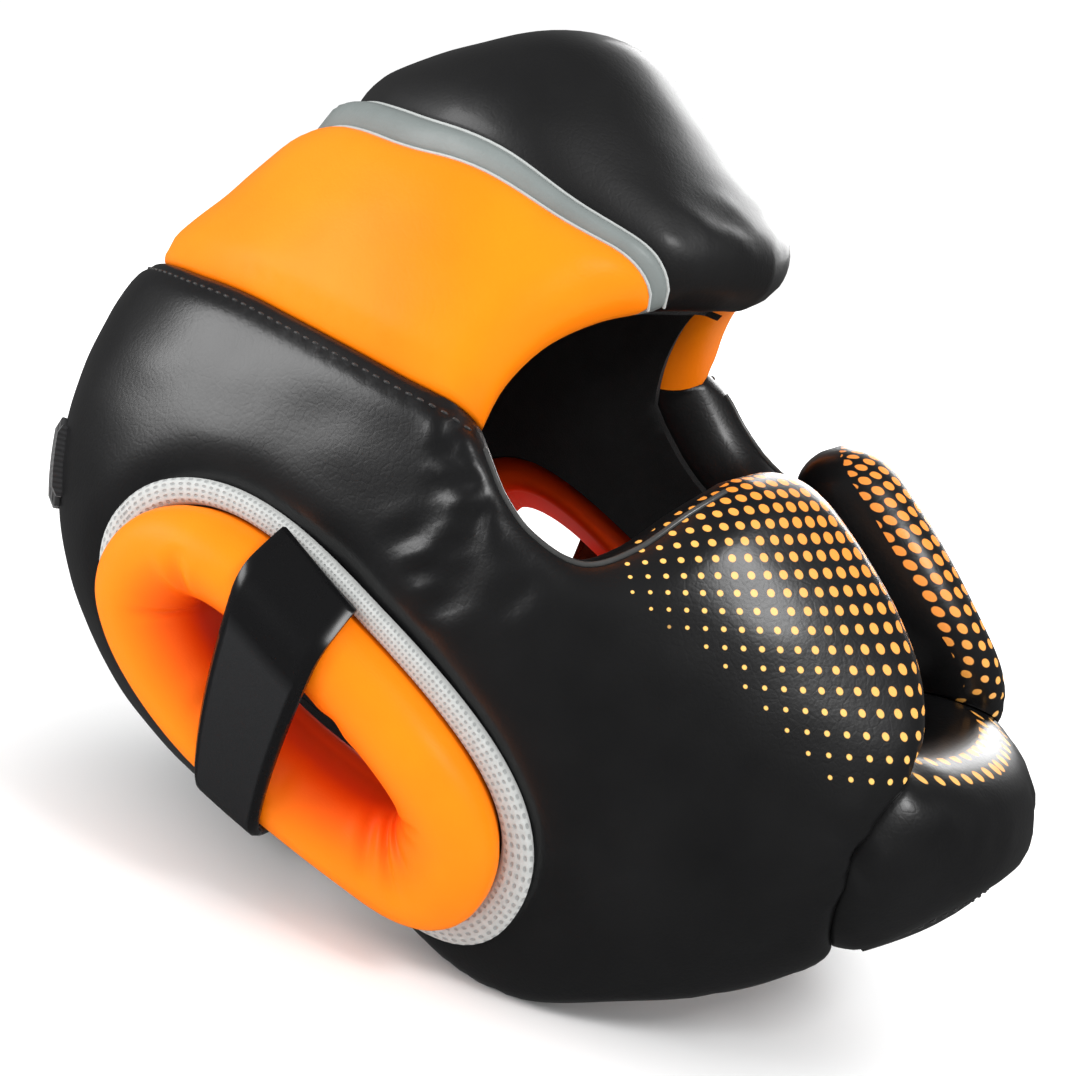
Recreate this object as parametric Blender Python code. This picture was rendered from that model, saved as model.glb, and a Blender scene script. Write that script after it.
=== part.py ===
"""Boxing headgear, padded leather, resting on a table. Worn frame first: X to the
wearer's left, front to -Y, Z up, centre of the head at the origin. Lengths in mm."""
import math

import bpy
import numpy as np
from mathutils.geometry import delaunay_2d_cdt

MM = 0.001

# Reach of the padded outside from the centre of the head
HALF_WIDTH = 97.0
FRONT_REACH = 122.0
REAR_REACH = 120.0
CROWN_REACH = 138.0
JAW_REACH = 140.0

# Padding and leather
PAD_THICKNESS = 26.0
LINING_THICKNESS = 2.0
STRIP_THICKNESS = 5.0
STRIP_SETBACK = 4.0
BAND_THICKNESS = 3.0
SEAM_DIP = 3.0
SEAM_REACH = 12.0
EDGE_ROLL = 14.0
PIECE_GAP = 0.5
LINING_GAP = 1.6
LINING_INSET = 9.5

# Ear opening: an oval ring leaning back at the top
EAR_AROUND = 100.5
EAR_UP = -13.5
EAR_LEAN = 28.0
RING_HALF_LENGTH = 49.0
RING_HALF_WIDTH = 22.0
RING_ROLL = 11.5
RING_HEIGHT = 14.0
RING_TAPER = 1.3
TRIM_WIDTH = 6.5
TRIM_HEIGHT = 1.8
TRIM_LEDGE = 3.0

# Bands
EAR_STRAP_WIDTH = 30.0
EAR_STRAP_WIDE_END = 1.20
EAR_STRAP_NARROW_END = 0.80
EAR_STRAP_START = 16.0
EAR_STRAP_SWEEP = 24.0
EAR_STRAP_OVERHANG = 1.5
REAR_STRAP_WIDTH = 24.0
REAR_STRAP_HALF_ARC = 42.0
REAR_STRAP_UP = 29.0

# Rest pose: jaw and nape touch the table, pressed flat by a little
REST_PRESS = 1.5
MESH_STEP = 13.6
EAR_POINT_COUNT = 36

# Outside form: share of the ellipsoid reach in each direction
# Columns: degrees up, front, front diagonal, side, rear diagonal, rear
FORM = (
    (-90, 0.93, 0.93, 0.93, 0.93, 0.93),
    (-72, 1.06, 1.08, 1.05, 0.88, 0.84),
    (-60, 1.20, 1.17, 1.09, 0.84, 0.79),
    (-45, 1.38, 1.20, 1.05, 0.84, 0.76),
    (-35, 1.33, 1.19, 1.02, 0.88, 0.79),
    (-20, 1.15, 1.14, 1.01, 0.97, 0.88),
    (0, 0.99, 1.07, 1.00, 1.06, 0.98),
    (20, 1.03, 1.06, 1.00, 1.12, 1.01),
    (38, 1.06, 1.07, 1.00, 1.10, 1.02),
    (55, 1.17, 1.10, 1.00, 1.05, 1.00),
    (72, 1.09, 1.06, 1.00, 0.98, 0.98),
    (90, 1.01, 1.01, 1.01, 1.01, 1.01),
)

# Padding depth: share of PAD_THICKNESS
# Columns: degrees up, front, side, rear
DEPTH = (
    (-90, 1.0, 0.9, 0.8),
    (-45, 1.40, 0.9, 0.8),
    (-20, 1.40, 0.86, 0.85),
    (0, 1.10, 0.86, 0.9),
    (25, 1.00, 0.9, 0.9),
    (55, 1.10, 0.95, 0.9),
    (90, 0.95, 0.95, 0.95),
)

# Outlines of one side. Columns: degrees round from the front, degrees up.
BROW_FRONT = ((0, 23), (10, 24), (21, 26))
BROW_STRIPE = ((21, 26), (24, 26.3))
BROW_SIDE = ((24, 26.3), (33, 27.2), (42, 26.6), (50, 23.6), (55.5, 19.0))
STRIPE_FRONT = ((21, 26), (25, 33), (32, 42), (39, 52), (44, 60), (48, 70), (50, 81), (0, 90))
STRIPE_REAR = ((24, 26.3), (29, 33), (36, 41.5), (45, 52), (52, 60), (67, 74), (112, 83), (180, 81.5))
TEMPLE_SEAM = ((55.5, 19), (59, 23), (65, 29), (76, 39), (93, 49.5), (116, 56), (142, 59), (180, 58))
EYE_RIM = ((55.5, 19), (55.5, 13), (55, 7), (53, 1), (48.5, -4.2), (42, -4.4), (33, -1.8), (23, 0.2))
CHEEK_EDGE = ((23, 0.2), (14.5, -0.6), (10.3, -4.5), (9, -11), (8.6, -18), (9.2, -24), (11.5, -29), (15, -33.5))
CHIN_LIP = ((15, -33.5), (8, -34.7), (0, -35))
CHIN_SIDE = ((15, -33.5), (21, -35.5), (26, -39.5), (28, -44.5), (26.5, -50.5), (20, -55.5))
CHIN_BASE = ((20, -55.5), (14.5, -50), (8, -46.8), (0, -45.8))
STRIP_SEAM = ((17.0, -52.7), (13.8, -49.7), (8, -46.95), (0, -45.95))
STRIP_END = ((17.0, -52.7), (14.5, -55.6))
STRIP_EDGE = ((14.5, -55.6), (9.5, -53.6), (4.5, -51.7), (0, -51.0))
JAW_EDGE = ((20, -55.5), (32, -61.5), (45, -63), (65, -62), (87, -62), (102, -58.5), (113, -50.5))
NAPE_EDGE = ((113, -50.5), (125, -45), (138, -42.5), (152, -43), (166, -44.5), (180, -45))

# Middle lines that the left and right pieces share
MIDDLE_TOP = ((180, 81.5), (180, 86), (0, 90))
MIDDLE_CROWN = ((180, 81.5), (180, 70), (180, 58))
MIDDLE_REAR = ((180, 58), (180, 20), (180, -45))
MIDDLE_CHIN = ((0, -35), (0, -45.8))
MIDDLE_LINING_REAR = ((180, -45), (180, 20), (180, 58), (180, 81.5))
MIDDLE_LINING_TOP = ((180, 81.5), (180, 86), (0, 90), (0, 60), (0, 23))


def clear_scene():
    for item in list(bpy.data.objects):
        bpy.data.objects.remove(item, do_unlink=True)


def direction(around, up):
    """Unit vectors; around is 0 at the front and 90 at the wearer's left."""
    a = np.radians(np.asarray(around, float))
    b = np.radians(np.asarray(up, float))
    return np.stack([np.cos(b) * np.sin(a), -np.cos(b) * np.cos(a), np.sin(b)], -1)


def angles(d):
    """Degrees round and up of unit vectors."""
    up = np.degrees(np.arcsin(np.clip(d[..., 2], -1.0, 1.0)))
    return np.degrees(np.arctan2(d[..., 0], -d[..., 1])), up


def smooth_rows(knots, rows, x):
    """Smooth curve through the rows of a table, one value per column."""
    knots = np.asarray(knots, float)
    rows = np.asarray(rows, float)
    slope = np.zeros_like(rows)
    slope[1:-1] = (rows[2:] - rows[:-2]) / (knots[2:] - knots[:-2])[:, None]
    slope[0] = (rows[1] - rows[0]) / (knots[1] - knots[0])
    slope[-1] = (rows[-1] - rows[-2]) / (knots[-1] - knots[-2])
    i = np.clip(np.searchsorted(knots, x) - 1, 0, len(knots) - 2)
    width = (knots[i + 1] - knots[i])[..., None]
    t = (np.asarray(x)[..., None] - knots[i][..., None]) / width
    value = (2 * t ** 3 - 3 * t ** 2 + 1) * rows[i] + (3 * t ** 2 - 2 * t ** 3) * rows[i + 1]
    bend = (t ** 3 - 2 * t ** 2 + t) * slope[i] + (t ** 3 - t ** 2) * slope[i + 1]
    return value + bend * width


def around_series(values, around):
    """Even series round the head through equally spaced columns."""
    count = values.shape[-1]
    places = np.linspace(0.0, math.pi, count)
    order = np.arange(count)
    weights = np.linalg.inv(np.cos(places[:, None] * order[None, :]))
    terms = np.cos(np.radians(around)[..., None] * order)
    return ((values @ weights.T) * terms).sum(-1)


def table_value(table, around, up):
    rows = np.array(table, float)
    values = smooth_rows(rows[:, 0], rows[:, 1:], np.clip(up, -90.0, 90.0))
    return around_series(values, around)


def reach(d):
    """Distance from the centre to the padded outside."""
    around, up = angles(d)
    y_reach = np.where(d[..., 1] < 0, FRONT_REACH, REAR_REACH)
    z_reach = np.where(d[..., 2] > 0, CROWN_REACH, JAW_REACH)
    scale = np.stack([np.full_like(y_reach, HALF_WIDTH), y_reach, z_reach], -1)
    return table_value(FORM, around, up) / np.linalg.norm(d / scale, axis=-1)


def depth(d):
    """Padding depth below the outside."""
    around, up = angles(d)
    return PAD_THICKNESS * table_value(DEPTH, around, up)


def curve(points, step, side=1):
    """Directions along a smooth curve through an outline table."""
    knots = direction([p[0] * side for p in points], [p[1] for p in points])
    fine = []
    count = len(knots)
    for i in range(count - 1):
        before = knots[max(i - 1, 0)]
        after = knots[min(i + 2, count - 1)]
        for t in np.linspace(0.0, 1.0, 24, endpoint=False):
            start_pull = (knots[i + 1] - before) * 0.5
            end_pull = (after - knots[i]) * 0.5
            value = (2 * t ** 3 - 3 * t ** 2 + 1) * knots[i]
            value = value + (3 * t ** 2 - 2 * t ** 3) * knots[i + 1]
            value = value + (t ** 3 - 2 * t ** 2 + t) * start_pull
            fine.append(value + (t ** 3 - t ** 2) * end_pull)
    fine.append(knots[-1])
    fine = np.array(fine)
    fine /= np.linalg.norm(fine, axis=1, keepdims=True)
    return resample(fine, step)


def resample(d, step):
    """Even spacing along a run of directions, measured on the outside."""
    place = d * reach(d)[:, None]
    length = np.concatenate([[0.0], np.cumsum(np.linalg.norm(np.diff(place, axis=0), axis=1))])
    count = max(1, int(round(length[-1] / step)))
    at = np.linspace(0.0, length[-1], count + 1)
    out = np.stack([np.interp(at, length, d[:, k]) for k in range(3)], -1)
    return out / np.linalg.norm(out, axis=1, keepdims=True)


class Chart:
    """Flat map of directions round one middle direction, in degrees of arc."""

    def __init__(self, around, up):
        self.middle = direction(around, up)
        self.east = np.cross(self.middle, (0.0, 0.0, 1.0))
        self.east /= -np.linalg.norm(self.east)
        self.north = np.cross(self.east, self.middle)
        self.north *= math.copysign(1.0, self.north[2])

    def flat(self, d):
        x = d @ self.east
        y = d @ self.north
        z = d @ self.middle
        side = np.hypot(x, y)
        angle = np.degrees(np.arctan2(side, z))
        share = angle / np.maximum(side, 1e-12)
        return np.stack([x * share, y * share], -1)

    def lift(self, p):
        angle = np.radians(np.linalg.norm(p, axis=-1))
        share = np.sin(angle) / np.maximum(np.degrees(angle), 1e-9)
        out = p[..., :1] * share[..., None] * self.east + p[..., 1:] * share[..., None] * self.north
        return out + np.cos(angle)[..., None] * self.middle


def inside(points, loop):
    """Even-odd test of flat points against a closed loop."""
    hit = np.zeros(len(points), bool)
    x, y = points[:, 0], points[:, 1]
    for a, b in zip(loop, np.roll(loop, -1, axis=0)):
        cross = (a[1] > y) != (b[1] > y)
        slope = (b[0] - a[0]) / (b[1] - a[1] if b[1] != a[1] else 1e-12)
        hit ^= cross & (x < a[0] + (y - a[1]) * slope)
    return hit


def nearest(points, runs):
    """Distance of each point to the nearest of several runs of places."""
    best = np.full(len(points), 1e9)
    for run in runs:
        for a, b in zip(run[:-1], run[1:]):
            line = b - a
            t = np.clip((points - a) @ line / max(line @ line, 1e-12), 0.0, 1.0)
            best = np.minimum(best, np.linalg.norm(points - a - t[:, None] * line, axis=1))
    return best


def places(d):
    return d * reach(d)[:, None]


def ear_chart(side):
    return Chart(EAR_AROUND * side, EAR_UP)


def ear_place(side, along, across):
    """Direction of a place in the ear oval: along its length, across to the rear."""
    chart = ear_chart(side)
    lean = math.radians(EAR_LEAN)
    rear = across * math.cos(lean) + along * math.sin(lean)
    high = along * math.cos(lean) - across * math.sin(lean)
    to_arc = math.degrees(1.0 / HALF_WIDTH)
    east_sign = math.copysign(1.0, chart.east[1])
    return chart.lift(np.stack([rear * to_arc * east_sign, high * to_arc], -1))


def oval(count, grow=0.0):
    """Places along and across on the ring's middle line, moved out by grow."""
    t = np.linspace(0.0, 2.0 * math.pi, 721)
    power = 2.0 / 2.4
    c, s = np.cos(t), np.sin(t)
    along = RING_HALF_LENGTH * np.sign(c) * np.abs(c) ** power
    across = RING_HALF_WIDTH * np.sign(s) * np.abs(s) ** power
    p = np.stack([along, across], -1)
    length = np.concatenate([[0.0], np.cumsum(np.linalg.norm(np.diff(p, axis=0), axis=1))])
    at = np.linspace(0.0, length[-1], count, endpoint=False)
    p = np.stack([np.interp(at, length, p[:, k]) for k in range(2)], -1)
    tangent = np.roll(p, -1, axis=0) - np.roll(p, 1, axis=0)
    tangent /= np.linalg.norm(tangent, axis=1, keepdims=True)
    normal = np.stack([tangent[:, 1], -tangent[:, 0]], -1)
    return p + normal * grow


class Edges:
    """Free edges, seams and ear holes that shape every pad."""

    def __init__(self, step=4.0):
        free, seam, ear = [], [], []
        for side in (-1, 1):
            for table in (BROW_FRONT, BROW_STRIPE, BROW_SIDE, EYE_RIM, CHEEK_EDGE, CHIN_LIP, JAW_EDGE,
                          NAPE_EDGE):
                free.append(places(curve(table, step, side)))
            for table in (STRIPE_FRONT, STRIPE_REAR, TEMPLE_SEAM, CHIN_SIDE, CHIN_BASE):
                seam.append(places(curve(table, step, side)))
            loop = oval(72, RING_ROLL)
            loop = np.vstack([loop, loop[:1]])
            ear.append(places(ear_place(side, loop[:, 0], loop[:, 1])))
        seam.append(places(curve(MIDDLE_LINING_REAR[::-1], step)))
        self.free, self.seam, self.ear = free, seam, ear

    def roll(self, p):
        """Share 0 at a free edge to 1 where the padding is full."""
        d = np.clip(nearest(p, self.free) / EDGE_ROLL + 0.02, 0.0, 1.0)
        return np.sqrt(1.0 - (1.0 - d) ** 2)

    def dip(self, p):
        d = np.clip(nearest(p, self.seam) / SEAM_REACH, 0.0, 1.0)
        ear = np.clip((nearest(p, self.ear) - TRIM_WIDTH - 1.5) / SEAM_REACH, 0.0, 1.0)
        return SEAM_DIP * (1.0 - d) ** 2 + TRIM_LEDGE * (1.0 - ear) ** 2


EDGES = Edges()


def outer_height(d):
    p = places(d)
    return -0.5 * depth(d) * (1.0 - EDGES.roll(p)) - EDGES.dip(p)


def inner_height(d):
    p = places(d)
    return -depth(d) + 0.5 * depth(d) * (1.0 - EDGES.roll(p))


def chain(*runs):
    """One closed loop of directions with the kind of edge at each point."""
    d, kind = [], []
    for table, edge_kind, side, backwards, step in runs:
        run = curve(table, step, side)
        if backwards:
            run = run[::-1]
        d.extend(run[:-1])
        kind.extend([edge_kind] * (len(run) - 1))
    return np.array(d), kind


ROWS = {
    "free": (0.12 * EDGE_ROLL, 0.4 * EDGE_ROLL, 0.85 * EDGE_ROLL),
    "seam": (0.45 * SEAM_REACH,),
    "ear": (TRIM_WIDTH + 1.5,),
    "plain": (),
    "inset": (),
}


def shrink(d, chart, amount):
    """Move a closed loop inwards by an amount on the outside; returns both."""
    flat = chart.flat(d)
    area = 0.5 * np.sum(flat[:, 0] * np.roll(flat[:, 1], -1) - np.roll(flat[:, 0], -1) * flat[:, 1])
    place = places(d)
    tangent = np.roll(place, -1, axis=0) - np.roll(place, 1, axis=0)
    inward = np.cross(d, tangent) * math.copysign(1.0, area)
    inward /= np.linalg.norm(inward, axis=1, keepdims=True)
    moved = place + inward * amount
    return moved / np.linalg.norm(moved, axis=1, keepdims=True)


NEIGHBOURS = [(i, j, k) for i in (-1, 0, 1) for j in (-1, 0, 1) for k in (-1, 0, 1)]


def nearest_point(points, others):
    """Distance of each point to the nearest of some other points."""
    best = np.full(len(points), 1e9)
    for q in others:
        best = np.minimum(best, np.linalg.norm(points - q, axis=1))
    return best


def sheet_mesh(chart, loop, kinds, holes, top, bottom, step):
    """Closed solid between two heights over an outlined patch of the outside."""
    rims = [(shrink(loop, chart, PIECE_GAP / 2), kinds, 1.0)]
    for hole, hole_kind in holes:
        rims.append((shrink(hole, chart, -PIECE_GAP / 2), [hole_kind] * len(hole), -1.0))
    flats = [chart.flat(r[0]) for r in rims]
    rim_places = np.vstack([places(r[0]) for r in rims])
    keep = []
    cells = {}

    def good(candidates, clear_rim, clear_kept):
        flat = chart.flat(candidates)
        ok = inside(flat, flats[0])
        for f in flats[1:]:
            ok &= ~inside(flat, f)
        p = places(candidates)
        gap = nearest_point(p, rim_places)
        ok &= gap >= clear_rim
        for i in np.nonzero(ok)[0]:
            key = tuple(np.floor(p[i] / step).astype(int))
            close = [q for o in NEIGHBOURS for q in cells.get((key[0] + o[0], key[1] + o[1], key[2] + o[2]), ())]
            if close and np.min(np.linalg.norm(np.array(close) - p[i], axis=1)) < clear_kept:
                continue
            cells.setdefault(key, []).append(p[i])
            keep.append(flat[i])

    for rim, rim_kinds, sign in rims:
        longest = max(len(ROWS[k]) for k in rim_kinds)
        for row in range(longest):
            amount = np.array([ROWS[k][row] if row < len(ROWS[k]) else 0.0 for k in rim_kinds])
            moved = shrink(rim, chart, (amount * sign)[:, None])
            chosen = amount > 0
            if not chosen.any():
                continue
            good(moved[chosen], 0.9 * amount[chosen], min(0.5 * step, 0.9 * amount.max()) * 0.55)
    low = flats[0].min(axis=0)
    high = flats[0].max(axis=0)
    arc = math.degrees(step / HALF_WIDTH)
    rows_y = np.arange(low[1], high[1], arc * 0.866)
    fill = []
    for j, y in enumerate(rows_y):
        shift = 0.5 * arc * (j % 2)
        fill.extend((x + shift, y) for x in np.arange(low[0], high[0], arc))
    fill = chart.lift(np.array(fill))
    good(fill, np.full(len(fill), 0.6 * step), 0.62 * step)

    points = [tuple(p) for f in flats for p in f] + [tuple(k) for k in keep]
    edges, start = [], 0
    for f in flats:
        edges += [(start + i, start + (i + 1) % len(f)) for i in range(len(f))]
        start += len(f)
    verts, _, faces, _, _, _ = delaunay_2d_cdt(points, edges, [], 0, 1e-7)
    verts = np.array([(v[0], v[1]) for v in verts])
    faces = np.array([f for f in faces])
    middle = verts[faces].mean(axis=1)
    ok = inside(middle, flats[0])
    for f in flats[1:]:
        ok &= ~inside(middle, f)
    faces = faces[ok]
    d = chart.lift(verts)
    a, b, c = d[faces[:, 0]], d[faces[:, 1]], d[faces[:, 2]]
    facing = np.einsum("ij,ij->i", np.cross(b - a, c - a), a)
    faces[facing < 0] = faces[facing < 0][:, ::-1]
    used = np.unique(faces)
    index = np.full(len(verts), -1)
    index[used] = np.arange(len(used))
    faces = index[faces]
    d = d[used]
    outside = reach(d)
    top_places = d * (outside + top(d))[:, None]
    bottom_places = d * (outside + bottom(d))[:, None]
    count = len(d)
    all_faces = [tuple(f) for f in faces] + [tuple(f[::-1] + count) for f in faces]
    seen = {}
    for f in faces:
        for i in range(3):
            seen[(f[i], f[(i + 1) % 3])] = True
    for a, b in list(seen):
        if (b, a) not in seen:
            all_faces.append((b, a, a + count))
            all_faces.append((b, a + count, b + count))
    return np.vstack([top_places, bottom_places]), all_faces


def closed_tube(sections, closed=True):
    """Solid swept through equal rings of places; open runs get end caps."""
    sections = np.asarray(sections)
    n, m = sections.shape[:2]
    verts = sections.reshape(-1, 3)
    faces = []
    for i in range(n if closed else n - 1):
        k = (i + 1) % n
        for j in range(m):
            l = (j + 1) % m
            faces.append((i * m + j, k * m + j, k * m + l))
            faces.append((i * m + j, k * m + l, i * m + l))
    if not closed:
        for j in range(1, m - 1):
            faces.append((0, j, j + 1))
            faces.append(((n - 1) * m, (n - 1) * m + j + 1, (n - 1) * m + j))
    return verts, faces


def ring_profile(count):
    """Ring section: share of the roll out from its middle line, level from 1 to -1."""
    top = [(math.cos(t), math.sin(t)) for t in np.linspace(0.0, math.pi, count // 2 + 1)]
    low = []
    for t in np.linspace(math.pi, 2.0 * math.pi, count // 2 + 1)[1:-1]:
        low.append((0.96 - RING_TAPER * 0.5 * (1.0 - math.cos(t)), math.sin(t)))
    return top, low


def ring_mesh(side, around_count, section_count):
    top, low = ring_profile(section_count)
    shares = top + low
    lines = [oval(around_count, share * RING_ROLL) for share, _ in shares]
    sections = []
    for i in range(around_count):
        section = []
        for j, (_, level) in enumerate(shares):
            d = ear_place(side, lines[j][i, 0], lines[j][i, 1])
            full = float(depth(d))
            h = RING_HEIGHT * level if level > 1e-6 else -2.0
            if j >= len(top):
                h = -0.55 * full + 0.5 * full * level
            section.append(d * (float(reach(d)) + h))
        sections.append(section)
    return closed_tube(sections)


def trim_mesh(side, around_count):
    inner = RING_ROLL + PIECE_GAP
    outline = ((0.0, -1.0), (0.12, 0.75), (0.5, 1.0), (0.88, 0.6), (1.0, -0.6), (0.5, -1.0))
    low = TRIM_HEIGHT - (TRIM_LEDGE + TRIM_HEIGHT - 0.6)
    sections = []
    lines = [oval(around_count, inner + TRIM_WIDTH * share) for share, _ in outline]
    for i in range(around_count):
        section = []
        for j, (_, level) in enumerate(outline):
            d = ear_place(side, lines[j][i, 0], lines[j][i, 1])
            h = low + (TRIM_HEIGHT - low) * 0.5 * (level + 1.0)
            section.append(d * (float(reach(d)) + h))
        sections.append(section)
    return closed_tube(sections)


def taut(x, y):
    """Upper hull of a profile: the line a tight band takes over it."""
    hull = []
    for p in zip(x, y):
        while len(hull) > 1:
            (x1, y1), (x2, y2) = hull[-2], hull[-1]
            if (x2 - x1) * (p[1] - y1) - (y2 - y1) * (p[0] - x1) >= 0:
                hull.pop()
            else:
                break
        hull.append(p)
    return np.interp(x, [p[0] for p in hull], [p[1] for p in hull])


def ear_strap_mesh(side, along_count, across_count):
    trim_end = RING_HALF_WIDTH + RING_ROLL + PIECE_GAP + TRIM_WIDTH
    half = trim_end + EAR_STRAP_OVERHANG
    w = np.linspace(-half, half, 241)
    under = np.full_like(w, -TRIM_LEDGE)
    for sign in (-1.0, 1.0):
        offset = (w * sign - RING_HALF_WIDTH) / RING_ROLL
        ring = RING_HEIGHT * np.sqrt(np.clip(1.0 - offset ** 2, 0.0, 1.0))
        under = np.where(np.abs(offset) < 1.0, np.maximum(under, ring), under)
        band = (w * sign > RING_HALF_WIDTH + 0.9 * RING_ROLL) & (w * sign < trim_end)
        under = np.where(band, np.maximum(under, TRIM_HEIGHT), under)
    line = taut(w, under) + 2.0 * PIECE_GAP
    stations = np.linspace(-half, half, along_count)
    height = np.interp(stations, w, line)
    sections = []
    for s, h in zip(stations, height):
        share = (s + half) / (2.0 * half)
        width = EAR_STRAP_WIDTH * (EAR_STRAP_WIDE_END + (EAR_STRAP_NARROW_END - EAR_STRAP_WIDE_END) * share)
        middle = EAR_STRAP_START - EAR_STRAP_SWEEP * share
        across = np.linspace(-0.5, 0.5, across_count)
        section = []
        for k in across:
            d = ear_place(side, middle + k * width, s)
            section.append(d * (float(reach(d)) + h + BAND_THICKNESS * (1.0 if abs(k) < 0.49 else 0.6)))
        for k in across[::-1]:
            d = ear_place(side, middle + k * width, s)
            section.append(d * (float(reach(d)) + h + (0.0 if abs(k) < 0.49 else 0.3)))
        sections.append(section)
    return closed_tube(sections, closed=False)


def rear_strap_mesh(along_count, across_count):
    sections = []
    for arc in np.linspace(-REAR_STRAP_HALF_ARC, REAR_STRAP_HALF_ARC, along_count):
        share = abs(arc) / REAR_STRAP_HALF_ARC
        half = 0.5 * REAR_STRAP_WIDTH * (1.0 if share < 0.95 else 0.8)
        top, low = [], []
        for k in np.linspace(-1.0, 1.0, across_count):
            d = direction(180.0 + arc, REAR_STRAP_UP + math.degrees(k * half / REAR_REACH))
            base = float(reach(d)) + PIECE_GAP
            top.append(d * (base + BAND_THICKNESS * (1.0 if abs(k) < 0.99 else 0.6)))
            low.append(d * (base + (0.0 if abs(k) < 0.99 else 0.3)))
        sections.append(top + low[::-1])
    return closed_tube(sections, closed=False)


def material(name, colour, roughness, metallic=0.0):
    finish = bpy.data.materials.new(name)
    finish.use_nodes = True
    shader = next(n for n in finish.node_tree.nodes if n.type == "BSDF_PRINCIPLED")
    shader.inputs["Base Color"].default_value = (*colour, 1.0)
    shader.inputs["Roughness"].default_value = roughness
    shader.inputs["Metallic"].default_value = metallic
    finish.diffuse_color = (*colour, 1.0)
    return finish


def signed_volume(verts, faces):
    v = np.asarray(verts)
    f = np.asarray(faces)
    return np.einsum("ij,ij->i", v[f[:, 0]], np.cross(v[f[:, 1]], v[f[:, 2]])).sum() / 6.0


def pad_pieces(step):
    """Every pad as name, chart, outline, holes and the two heights."""
    rim = 0.8 * step
    both = []
    loop, kinds = chain(
        (BROW_FRONT, "free", 1, False, rim),
        (STRIPE_FRONT, "seam", 1, False, rim),
        (STRIPE_FRONT, "seam", -1, True, rim),
        (BROW_FRONT, "free", -1, True, rim),
    )
    both.append(("forehead_panel", Chart(0, 55), loop, kinds, [], outer_height, inner_height))
    for side, word in ((1, "left"), (-1, "right")):
        loop, kinds = chain(
            (BROW_STRIPE, "free", side, False, rim),
            (STRIPE_REAR, "seam", side, False, rim),
            (MIDDLE_TOP, "seam", side, False, rim),
            (STRIPE_FRONT, "seam", side, True, rim),
        )
        both.append(("grey_stripe_" + word, Chart(40 * side, 58), loop, kinds, [], outer_height, inner_height))
        loop, kinds = chain(
            (BROW_SIDE, "free", side, False, rim),
            (TEMPLE_SEAM, "seam", side, False, rim),
            (MIDDLE_CROWN, "seam", side, True, rim),
            (STRIPE_REAR, "seam", side, True, rim),
        )
        both.append(("crown_panel_" + word, Chart(85 * side, 60), loop, kinds, [], outer_height, inner_height))
        loop, kinds = chain(
            (TEMPLE_SEAM, "seam", side, False, rim),
            (MIDDLE_REAR, "seam", side, False, rim),
            (NAPE_EDGE, "free", side, True, rim),
            (JAW_EDGE, "free", side, True, rim),
            (CHIN_SIDE, "seam", side, True, rim),
            (CHEEK_EDGE, "free", side, True, rim),
            (EYE_RIM, "free", side, True, rim),
        )
        hole = oval(EAR_POINT_COUNT, RING_ROLL)
        hole = ear_place(side, hole[:, 0], hole[:, 1])
        both.append(("side_pad_" + word, Chart(92 * side, -2), loop, kinds, [(hole, "ear")],
                     outer_height, inner_height))
    loop, kinds = chain(
        (CHIN_LIP, "free", -1, False, rim),
        (CHIN_LIP, "free", 1, True, rim),
        (CHIN_SIDE, "seam", 1, False, rim),
        (CHIN_BASE, "seam", 1, False, rim),
        (CHIN_BASE, "seam", -1, True, rim),
        (CHIN_SIDE, "seam", -1, True, rim),
    )
    both.append(("chin_guard", Chart(0, -45), loop, kinds, [], outer_height, inner_height))
    loop, kinds = chain(
        (STRIP_SEAM, "plain", 1, False, rim),
        (STRIP_SEAM, "plain", -1, True, rim),
        (STRIP_END, "plain", -1, False, rim),
        (STRIP_EDGE, "plain", -1, False, rim),
        (STRIP_EDGE, "plain", 1, True, rim),
        (STRIP_END, "plain", 1, True, rim),
    )
    both.append(("chin_underside_strip", Chart(0, -50), loop, kinds, [], strip_top, strip_bottom))
    for side, word in ((1, "left"), (-1, "right")):
        loop, kinds = chain(
            (BROW_FRONT, "inset", side, False, step),
            (BROW_STRIPE, "inset", side, False, step),
            (BROW_SIDE, "inset", side, False, step),
            (EYE_RIM, "inset", side, False, step),
            (CHEEK_EDGE, "inset", side, False, step),
            (CHIN_LIP, "inset", side, False, step),
            (MIDDLE_CHIN, "plain", side, False, step),
            (CHIN_BASE, "inset", side, True, step),
            (JAW_EDGE, "inset", side, False, step),
            (NAPE_EDGE, "inset", side, False, step),
            (MIDDLE_LINING_REAR, "plain", side, False, step),
            (MIDDLE_LINING_TOP, "plain", side, False, step),
        )
        chart = Chart(95 * side, 5)
        loop = inset_loop(loop, kinds, chart)
        hole = oval(EAR_POINT_COUNT, RING_ROLL + 2.0)
        hole = ear_place(side, hole[:, 0], hole[:, 1])
        both.append(("lining_" + word, chart, loop, ["plain"] * len(loop), [(hole, "plain")],
                     lining_top, lining_bottom))
    return both


def inset_loop(loop, kinds, chart):
    """Draw an outline in from the free edges and keep its middle line in place."""
    free = np.array([k == "inset" for k in kinds])
    corner = (free != np.roll(free, 1)) | (free & (np.abs(loop[:, 0]) < 1e-6))
    amount = np.where(corner, 1.3 * LINING_INSET, np.where(free, LINING_INSET, 0.0))
    middle = np.abs(loop[:, 0]) < 1e-6
    moved = shrink(loop, chart, amount[:, None])
    moved[middle, 0] = 0.0
    return moved / np.linalg.norm(moved, axis=1, keepdims=True)


def strip_top(d):
    return np.full(len(d), -STRIP_SETBACK)


def strip_bottom(d):
    return np.full(len(d), -STRIP_SETBACK - STRIP_THICKNESS)


def lining_top(d):
    return inner_height(d) - LINING_GAP


def lining_bottom(d):
    return inner_height(d) - LINING_GAP - LINING_THICKNESS


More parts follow.
